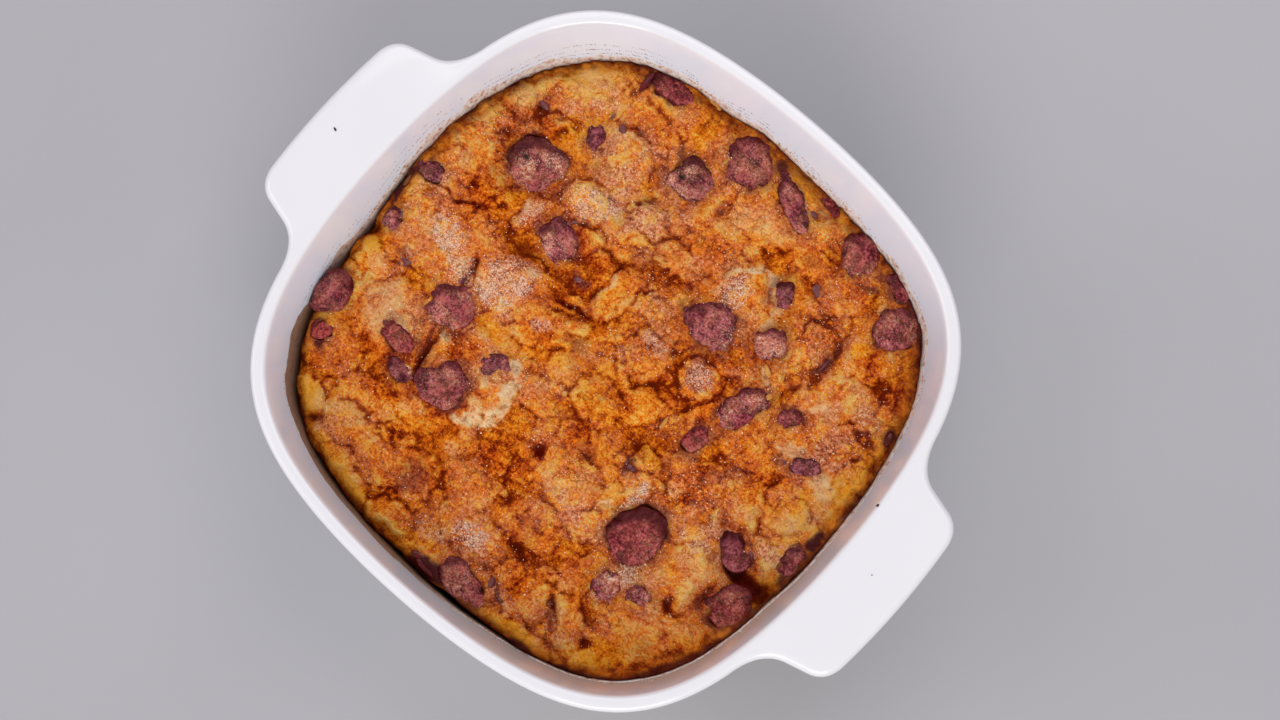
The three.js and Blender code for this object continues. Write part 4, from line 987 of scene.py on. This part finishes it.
def cherry_marks(x, y, z, cherry, number):
    """Where a cherry is dusted, where it is painted darker as shade towards its side away from the light,
    where it is open at its hole, and how blue it is.
    """
    above = z > cherry_top(number) - cherry.thickness / 2
    dx, dy = x - cherry.x, y - cherry.y
    hole = np.zeros_like(x)
    if number in STONE_HOLES:
        hole_x, hole_y = STONE_HOLES[number]
        hole = np.exp(-(np.hypot(dx - hole_x, dy - hole_y) / HOLE_REACH) ** 2) * above
    side = (SHADED_SIDE[0] * dx + SHADED_SIDE[1] * dy) / (cherry.length + cherry.width) * 4
    bare = side + 0.25 * rough(x, y, 4, 56)
    # The crescent is bare skin low on the sides, widest on the side away from the light, and painted darker
    # as shade. Clearing the sugar there leaves the side toward the light paler, which is painted light too.
    wide, darkness = (0.55, 0.85) if cherry.pit > OPEN_PIT else (0.3, 0.55)
    crescent = rise_between(cherry_ring(x, y, cherry, number) + wide * bare, 0.64, 1.05)
    dust = 0.85 * cherry.dust * (1 - 0.9 * crescent)
    dust = dust * (0.46 + 0.42 * rough(x, y, 7, 58) + 0.25 * rough(x, y, 2.6, 60)) * above
    return {"dust": np.clip(dust, 0, 1), "tint": np.full(len(x), 0.5 + 0.5 * cherry.tint), "hole": hole,
            "dark_skin_and_painted_shade": darkness * crescent}


def make_cherries():
    """One skin for each cherry, at the height of its place in the bread."""
    material = cherry_material()
    for number, cherry in enumerate(CHERRIES):
        node = f"cherry_{number + 1:02d}"
        points, faces = cherry_skin(cherry, number, cherry_top(number), cherry_dome(cherry), CHERRY_COLUMNS)
        marks = cherry_marks(*points.T, cherry, number)
        points[:, 2] -= HOLE_DEPTH * marks["hole"]
        skin = new_piece(f"{node}_skin", points, faces, material, marks)
        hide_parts(node)
        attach(skin, "root")


make_cherries()

# ------------------------------------------------------------------ cherry scraps
# Torn bits of cherry skin and flesh, a few millimetres across. They came up with the custard and are
# baked into its top, two thirds of each sunk in.
SCRAP_THICKNESS, SCRAP_DOME, SCRAP_LIFT, SCRAP_COLUMNS = 3.0, 1.2, 0.5, 40
SCRAP_SHARE = 0.85         # how much of a scrap's length and width shows
FIRST_SCRAP = 40           # number that gives the first scrap its outline
# Centre x, y, length, width, turn and tint from red -1 to blue 1.
SCRAPS = [
    (-65, 79, 5.5, 4, 35, -0.8), (-58, 75.5, 7, 4, -40, 0.9), (-91, 64, 9, 4.5, -15, -0.4),
    (-30, 18.5, 8, 4, 0, 0.8), (-89, -21, 8, 6, 50, 0.6), (20.5, 101, 6, 4, 0, -0.6),
    (44, 78, 8, 4.5, -20, 0), (35, -26, 6, 8, 0, -0.9), (77, 16, 8, 5, 30, 0.3),
    (-46.5, 35.5, 10, 3.5, 42, -0.5), (-102, -8, 4, 4, 0, 0), (92, -18, 7, 2.6, -40, 0.8),
    (-67, -13, 4, 8, 10, -0.2), (-77, -46, 5, 3.5, 0, -0.8), (64.5, 58, 4, 9, 0, -0.8),
    (23.5, -95.5, 3.6, 7.5, 12, 0.9),
]


def level_at(x, y):
    """Height of the finished bread over a point, from the nearest corner of its grid."""
    return top_level.ravel()[((top_x - x) ** 2 + (top_y - y) ** 2).argmin()]


def joined(shapes):
    """One array of points and one list of faces from several shapes, and the number of points of each."""
    faces, counts = [], [len(points) for points, own_faces in shapes]
    for first, (points, own_faces) in zip(np.cumsum([0] + counts).tolist(), shapes):
        faces += [[corner + first for corner in face] for face in own_faces]
    return np.concatenate([points for points, own_faces in shapes]), faces, counts


def make_scraps():
    """Small flattened balls, pressed two thirds into the bread."""
    shapes = [cherry_skin(Cherry(x, y, SCRAP_SHARE * length, SCRAP_SHARE * width, turn, SCRAP_THICKNESS),
                          number, level_at(x, y) + SCRAP_LIFT, SCRAP_DOME, SCRAP_COLUMNS)
              for number, (x, y, length, width, turn, _) in enumerate(SCRAPS, FIRST_SCRAP)]
    points, faces, counts = joined(shapes)
    marks = {"dust": np.clip(0.08 + 0.3 * rough(points[:, 0], points[:, 1], 2.5, 59), 0, 1),
             "tint": np.repeat([0.5 + 0.5 * scrap[5] for scrap in SCRAPS], counts),
             "hole": np.zeros(len(points)), "dark_skin_and_painted_shade": np.full(len(points), 0.3)}
    scraps = new_piece("cherry_scraps", points, faces, bpy.data.materials["baked_cherry"], marks)
    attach(scraps, "root")


make_scraps()

# ------------------------------------------------------------------ sugar
# Coarse pale sugar strewn before baking: grains of a third of a millimetre, thin all over the crust and
# thick on some slices. None shows in the deep pits.
SUGAR_THROWN, THROWN_HALF = 150000, 108     # grains, and half-width of the square they fall on
SUGAR_REACH = 104          # plan of the strewn part, middle of a side
SUGAR_LOWEST = 42.5
GRAIN_LIFT = 0.08          # middle of a grain over the bread
SHELF_CELL, SHELF_HALF = 0.8, 150     # square cells of a table of the bread's height, and half their number
# Faces of an eight-sided grain whose corners are +a, -a, +b, -b, +c and -c.
GRAIN_FACES = [(0, 2, 4), (2, 1, 4), (1, 3, 4), (3, 0, 4), (2, 0, 5), (1, 2, 5), (3, 1, 5), (0, 3, 5)]


def grain_faces(count):
    """Faces of many eight-sided grains, one after another."""
    return (np.array(GRAIN_FACES) + 6 * np.arange(count)[:, None, None]).reshape(-1, 3).tolist()


def sugar_material():
    """Off-white crystal with a trace of cinnamon."""
    material, add, shader, place = new_material("coarse_sugar")
    colour = ramp(add, speckle(add, place, 900, 2), (0.36, (0.62, 0.27, 0.13)), (0.5, (0.9, 0.54, 0.31)),
                  (0.6, (1, 0.82, 0.6)))
    plug(shader, Base_Color=colour, Roughness=0.5, Specular_IOR_Level=0.25)
    return material


def shelf_cell(x, y):
    """Row and column of the height table's cell over each point."""
    return tuple(np.round(place / SHELF_CELL).astype(int) + SHELF_HALF for place in (x, y))


def make_sugar():
    """Eight-sided grains drawn from one seed, kept where a draw falls under the strength of the sugar."""
    draw = np.random.default_rng(19)
    x, y = draw.uniform(-THROWN_HALF, THROWN_HALF, (2, SUGAR_THROWN))
    wobble = 2.4 * rough(x, y, 5, 41)
    strewn = 0.012 + 0.1 * np.clip(0.46 + 0.42 * rough(x, y, 26, 49) + 0.34 * rough(x, y, 11, 50), 0, 1)
    heaped = spots(x + wobble, y + wobble, SUGARED) ** 1.3 * (0.6 + 0.6 * rough(x, y, 2.5, 91))
    kept = draw.uniform(0, 1, len(x)) < 0.7 * np.maximum(heaped, strewn)
    kept &= np.hypot(x, y) < SUGAR_REACH * outline(np.arctan2(y, x))
    shelf = np.full((2 * SHELF_HALF, 2 * SHELF_HALF), np.nan)
    shelf[shelf_cell(top_x.ravel(), top_y.ravel())] = top_level.ravel()
    x, y = x[kept], y[kept]
    z = shelf[shelf_cell(x, y)]
    known = np.isfinite(z) & (z > SUGAR_LOWEST)
    middle = np.stack([x, y, z + GRAIN_LIFT], -1)[known]
    count = len(middle)
    corners = np.array([(1, 0, 0), (-1, 0, 0), (0, 1, 0), (0, -1, 0), (0, 0, 1), (0, 0, -1)])
    size = draw.uniform(0.16, 0.4, (count, 1, 3))
    turn, lean = draw.uniform(0, math.pi, (2, count, 1))
    across, along, up = np.moveaxis(corners * size * draw.uniform(0.8, 1.15, (count, 6, 1)), -1, 0)
    across, along = turned(across, along, -turn)
    along, up = turned(along, up, -lean)
    points = (np.stack([across, along, up], -1) + middle[:, None]).reshape(-1, 3)
    grains = new_piece("sugar_grains", points, grain_faces(count), sugar_material(), smooth=False)
    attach(grains, "root")


make_sugar()

# ------------------------------------------------------------------ baked-on custard
# Custard that rose up the glaze and dried there when the pudding sank: a thin ragged tide mark above
# its edge, and broken lines of brown crumbs where it stood higher.
TIDE_BEARINGS = (160, 42)      # sides on which the tide mark stands high
STAIN_BEARING = 238            # middle of the side whose wall is stained below the old edge
CRUMB_BEARING = 130            # side with the most crumbs
LOWEST_EDGE = 41.5
CRUMBS_THROWN = 7500
CRUMB_LINES = [1.8, 3.4, 5.2, 7.4]     # height of each line over the bread's edge
CRUMB_LINE_SHARES = [0.35, 0.25, 0.25, 0.15]
HIGHEST_CRUMB = 66
# Rows of the strip from below the bread's edge up: share of the tide mark, or millimetres where it is
# less than 0; distance in front of the glaze; how burnt it is.
TIDE_ROWS = [(-16, 0.3, 0.9), (-5, 0.34, 0.9), (-0.3, 0.34, 0.45), (0.35, 0.26, 0.0), (0.8, 0.14, 0.0),
             (1, -0.12, 0.0)]


def residue_material():
    """Dried custard: cream to tan, with burnt specks."""
    material, add, shader, place = new_material("baked_on_custard")
    colour = ramp(add, speckle(add, place, 420, 5, 0.75), (0.36, (0.34, 0.15, 0.08)),
                  (0.44, (0.62, 0.42, 0.31)), (0.52, (0.74, 0.64, 0.57)), (0.64, (0.8, 0.75, 0.72)))
    plug(shader, Base_Color=mixed(add, mark(add, "burnt"), colour, (0.22, 0.095, 0.035)), Roughness=0.55)
    return material


def wall_edge():
    """Bearings round the bread's edge in order, and its height there smoothed over 25 points."""
    angle = np.arctan2(bread_edge[:, 1], bread_edge[:, 0])
    order = np.argsort(angle)
    level = bread_edge[order, 2]
    level = np.convolve(np.concatenate([level[-12:], level, level[:12]]), np.ones(25) / 25, "valid")
    return angle[order], np.maximum(level, LOWEST_EDGE)


def tide_mark(angle, level):
    """A thin closed strip on the wall from below the bread's edge to a ragged height, and how burnt it is."""
    x, y = BREAD_HALF * np.cos(angle), BREAD_HALF * np.sin(angle)
    left, right = (np.clip(facing(angle, bearing), 0, 1) for bearing in TIDE_BEARINGS)
    left, right = left ** 3, right ** 2
    stained = rise_between(facing(angle, STAIN_BEARING), 0.62, 0.9)
    tall = 1.2 + 5.5 * left + 4.2 * right + (1.0 + 1.8 * left) * rough(x, y, 7, 81) + 0.7 * rough(x, y, 2, 82)
    tall = tall.clip(0.1) * (1 - 0.45 * shrunk(angle))
    tall = tall + stained * (6.5 + 2.0 * rough(x, y, 16, 88) + 0.8 * rough(x, y, 3, 89))
    rows = []
    for share, lift, char in TIDE_ROWS:
        height = level + np.where(share < 0, share, share * tall)
        radius = (inner_half(height) - lift) * outline(angle)
        rows.append(np.column_stack([radius * np.cos(angle), radius * np.sin(angle), height]))
    rows.append(rows[-1] * [1.001, 1.001, 1] + [0, 0, -0.1])
    rows.append(rows[0] * [1.004, 1.004, 1])
    count = len(angle)
    faces = grid_faces(len(rows), count, True)
    around = np.arange(count)
    after, last = np.roll(around, -1), (len(rows) - 1) * count
    faces += np.stack([last + around, last + after, after, around], 1).tolist()
    burnt = np.array([row[2] for row in TIDE_ROWS] + [0, 0.9])[:, None]
    return np.concatenate(rows), np.array(faces)[:, ::-1].tolist(), np.maximum(burnt, 0.85 * stained).ravel()


def wall_crumbs(edge_angle, edge_level):
    """Flat crumbs drawn from one seed on broken lines above the bread's edge, and how burnt they are."""
    draw = np.random.default_rng(83)
    angle = draw.uniform(-math.pi, math.pi, CRUMBS_THROWN)
    x, y = BREAD_HALF * np.cos(angle), BREAD_HALF * np.sin(angle)
    line = draw.choice(CRUMB_LINES, CRUMBS_THROWN, p=CRUMB_LINE_SHARES)
    reach = (1 + 0.8 * np.clip(facing(angle, TIDE_BEARINGS[0]), 0, 1) ** 3) * (1 + 0.3 * rough(x, y, 20, 84))
    height = np.interp(angle, edge_angle, edge_level) + line * reach + draw.normal(0, 0.2, CRUMBS_THROWN)
    thick = rough(x, y, 9, 85) + 0.7 * facing(angle, CRUMB_BEARING) + draw.uniform(-0.6, 0.6, CRUMBS_THROWN)
    kept = (thick > 0.35) & (height < HIGHEST_CRUMB)
    angle, height = angle[kept], height[kept]
    count = len(height)
    size = draw.uniform(0.12, 0.42, (count, 2, 1))
    out = np.column_stack([np.cos(angle), np.sin(angle), np.zeros(count)])
    along = np.column_stack([-np.sin(angle), np.cos(angle), np.zeros(count)]) * size[:, 0]
    up = np.array([0, 0, 0.7]) * size[:, 1]
    middle = out * (inner_half(height) * outline(angle))[:, None] + np.array([0, 0, 1]) * height[:, None]
    corners = [middle + way for way in (along, -along, up, -up, 0.25 * out, -0.22 * out)]
    burnt = np.repeat(draw.uniform(0, 1, count) > 0.55, 6) * 0.8
    return np.stack(corners, 1).reshape(-1, 3), grain_faces(count), burnt


def make_residue():
    """The tide mark and the crumbs above it, in one piece."""
    shapes = [make(*wall_edge()) for make in (tide_mark, wall_crumbs)]
    points, faces, counts = joined([(points, faces) for points, faces, burnt in shapes])
    marks = {"burnt": np.concatenate([burnt for points, faces, burnt in shapes])}
    residue = new_piece("baked_on_custard", points, faces, residue_material(), marks)
    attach(residue, "root")


make_residue()

# ------------------------------------------------------------------ stray crumbs
# Three crumbs of bread that fell on the hot glaze, one on each tab and one on the rim. They charred there
# and stuck.
CRUMB_THICKNESS, CRUMB_LIFT = 0.5, 0.15
FIRST_CRUMB = 60               # number that gives the first crumb its outline
# Centre x, y, level of the glaze, length, width, turn.
STRAY_CRUMBS = [
    (-139.3, -3.6, 75.85, 1.7, 0.9, -18), (117.8, 25, 75.6, 1.4, 1, 86), (133.7, 3.1, 75.85, 0.5, 0.4, 0),
]


def lens(x, y, length, width, degrees, middle, thickness, number):
    """A flattened closed ball of uneven oval plan: height middle + thickness / 2 * sin(latitude)."""
    latitude = np.radians(np.linspace(-90, 90, 10)[1:-1])[:, None]
    longitude = np.linspace(0, 2 * math.pi, 24, endpoint=False)[None, :]
    spread = np.cos(latitude) * unevenness(longitude, number)
    along, across = turned(length / 2 * spread * np.cos(longitude), width / 2 * spread * np.sin(longitude),
                           -math.radians(degrees))
    height = middle + thickness / 2 * np.sin(latitude) + 0 * longitude
    grid = np.stack([x + along, y + across, height], -1)
    return closed_rings(grid, (x, y, middle - thickness / 2), (x, y, middle + thickness / 2))


def make_stray_crumbs():
    """Tiny charred lumps."""
    material, add, shader, place = new_material("charred_crumb")
    char = ramp(add, speckle(add, place, 2500, 2), (0.4, (0.008, 0.007, 0.006)), (0.6, (0.07, 0.04, 0.02)))
    plug(shader, Base_Color=char, Roughness=0.7)
    shapes = [lens(x, y, length, width, turn, level + CRUMB_LIFT, CRUMB_THICKNESS, number)
              for number, (x, y, level, length, width, turn) in enumerate(STRAY_CRUMBS, FIRST_CRUMB)]
    points, faces, counts = joined(shapes)
    crumbs = new_piece("stray_crumbs", points, faces, material)
    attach(crumbs, "root")


make_stray_crumbs()

# ------------------------------------------------------------------ syrup
# Cherry juice and custard whey that came up in baking. It set as small clear beads and streaks on the
# crust, red by the cherries and amber elsewhere.
DROP_DEPTH = 0.45              # thickness of a drop as a share of its width
DROP_LIFT = 0.05
FIRST_DROP = 90                # number that gives the first drop its outline
# Centre x, y, length, width, turn and redness.
SYRUP = [
    (32.5, -2, 1.6, 8, 5, 0), (8, -12, 3, 2, 20, 0.1), (-4.6, -20, 2.4, 2, 0, 0), (50, 40, 5, 2.2, -30, 0),
    (57, 33, 2.2, 4.5, -20, 0.1), (37, -43, 4, 2.4, 40, 0), (83, 77, 5, 2.2, -30, 0.1),
    (-64.5, 97, 2.4, 11, 5, 1), (1, -107.5, 13, 3.2, 0, 1), (-6, -106, 6, 2.6, 10, 1),
    (103.5, 52, 2.4, 6, 20, 1), (60, -33, 6, 2, -30, 0.6), (-33, 83, 2, 6, 30, 0.7),
    (-40, 109.5, 8, 1.8, 0, 0), (-36, 109, 2, 2, 0, 0), (104, -14, 2, 6, 0, 0.8), (90, -27, 5, 2, -10, 0.5),
    (44, -49, 2, 6, 25, 0.7), (24, 104, 4, 2, 10, 0.4), (-109.5, 4, 2, 7, 0, 0.8),
]


def make_syrup():
    """Low lens-shaped drops lying on the bread."""
    material, add, shader, place = new_material("set_syrup")
    shade = speckle(add, place, 300, 3)
    clear = ramp(add, shade, (0.3, (0.46, 0.17, 0.02)), (0.7, (0.66, 0.34, 0.08)))
    red = ramp(add, shade, (0.3, (0.07, 0.003, 0.003)), (0.7, (0.16, 0.01, 0.008)))
    plug(shader, Base_Color=mixed(add, mark(add, "red"), clear, red), Roughness=0.14, Coat_Weight=0.1)
    plug(shader, Specular_IOR_Level=0.22)
    shapes = [lens(x, y, length, width, turn, level_at(x, y) + DROP_LIFT, DROP_DEPTH * min(length, width),
                   number) for number, (x, y, length, width, turn, _) in enumerate(SYRUP, FIRST_DROP)]
    points, faces, counts = joined(shapes)
    marks = {"red": np.repeat([drop[5] for drop in SYRUP], counts)}
    syrup = new_piece("syrup_drops", points, faces, material, marks)
    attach(syrup, "root")


make_syrup()

# ------------------------------------------------------------------ stage, light and camera
# A plain pale floor, a large soft light low on one side, a broad soft light overhead and a bright room.
# The camera looks down on the dish through an 85 mm lens, leaning a little to one side.
EYE = (0.13369, -0.13655, 1.23554)
TILT = math.radians(9.2277)
ROLL = math.radians(-0.162)
SPIN = math.radians(41.4304)
FLOOR_HALF = 3000.0
AIM = Vector((0, 0, 0.05))     # what the lights face
# Lights: name, direction, distance, size, watts and colour.
LIGHTS = [
    ("window", (0.66, -0.75, 0.62), 3.0, 2.0, 49, (1.0, 0.985, 0.96)),
    ("far_window", (-0.75, -0.66, 0.75), 3.0, 2.0, 17.5, (1.0, 0.97, 1.0)),
    ("overhead", (-0.25, 0.72, 1.0), 1.5, 1.2, 6.8, (1.0, 0.97, 0.98)),
]


def make_floor():
    """A plain pale floor under the dish."""
    material, add, shader, place = new_material("pale_floor")
    colour = ramp(add, speckle(add, place, 3, 2), (0.3, (0.4, 0.4, 0.41)), (0.7, (0.44, 0.44, 0.45)))
    plug(shader, Base_Color=colour, Roughness=0.6)
    corners = [(x * FLOOR_HALF, y * FLOOR_HALF, 0) for x, y in ((-1, -1), (1, -1), (1, 1), (-1, 1))]
    floor = new_piece("floor", corners, [(0, 1, 2, 3)], material)


def make_light(name, toward, distance, size, power, colour):
    """A square soft light at a distance in a direction, facing the dish."""
    lamp = bpy.data.lights.new(name, "AREA")
    lamp.shape = "SQUARE"
    lamp.size = size
    lamp.energy = power
    lamp.color = colour
    holder = bpy.data.objects.new(name, lamp)
    direction = Vector(toward).normalized()
    holder.location = AIM + direction * distance
    holder.rotation_euler = direction.to_track_quat("Z", "Y").to_euler()
    bpy.context.collection.objects.link(holder)


def make_room():
    """Even pale surroundings."""
    world = bpy.data.worlds.new("room")
    world.use_nodes = True
    plug(world.node_tree.nodes["Background"], Color=(0.94, 0.92, 1.01, 1), Strength=0.54)
    bpy.context.scene.world = world


def make_camera():
    """The camera at its eye point, turned by spin, roll and tilt."""
    data = bpy.data.cameras.new("camera")
    data.lens = 85
    data.sensor_width = 36
    camera = bpy.data.objects.new("camera", data)
    turns = [Matrix.Rotation(-angle, 3, axis) for angle, axis in ((TILT, "X"), (ROLL, "Y"), (SPIN, "Z"))]
    way = turns[0] @ turns[1] @ turns[2]
    camera.matrix_world = Matrix.Translation(EYE) @ way.transposed().to_4x4()
    bpy.context.collection.objects.link(camera)
    bpy.context.scene.camera = camera


make_floor()
for light in LIGHTS:
    make_light(*light)
make_room()
make_camera()
bpy.context.scene.view_settings.view_transform = "Standard"
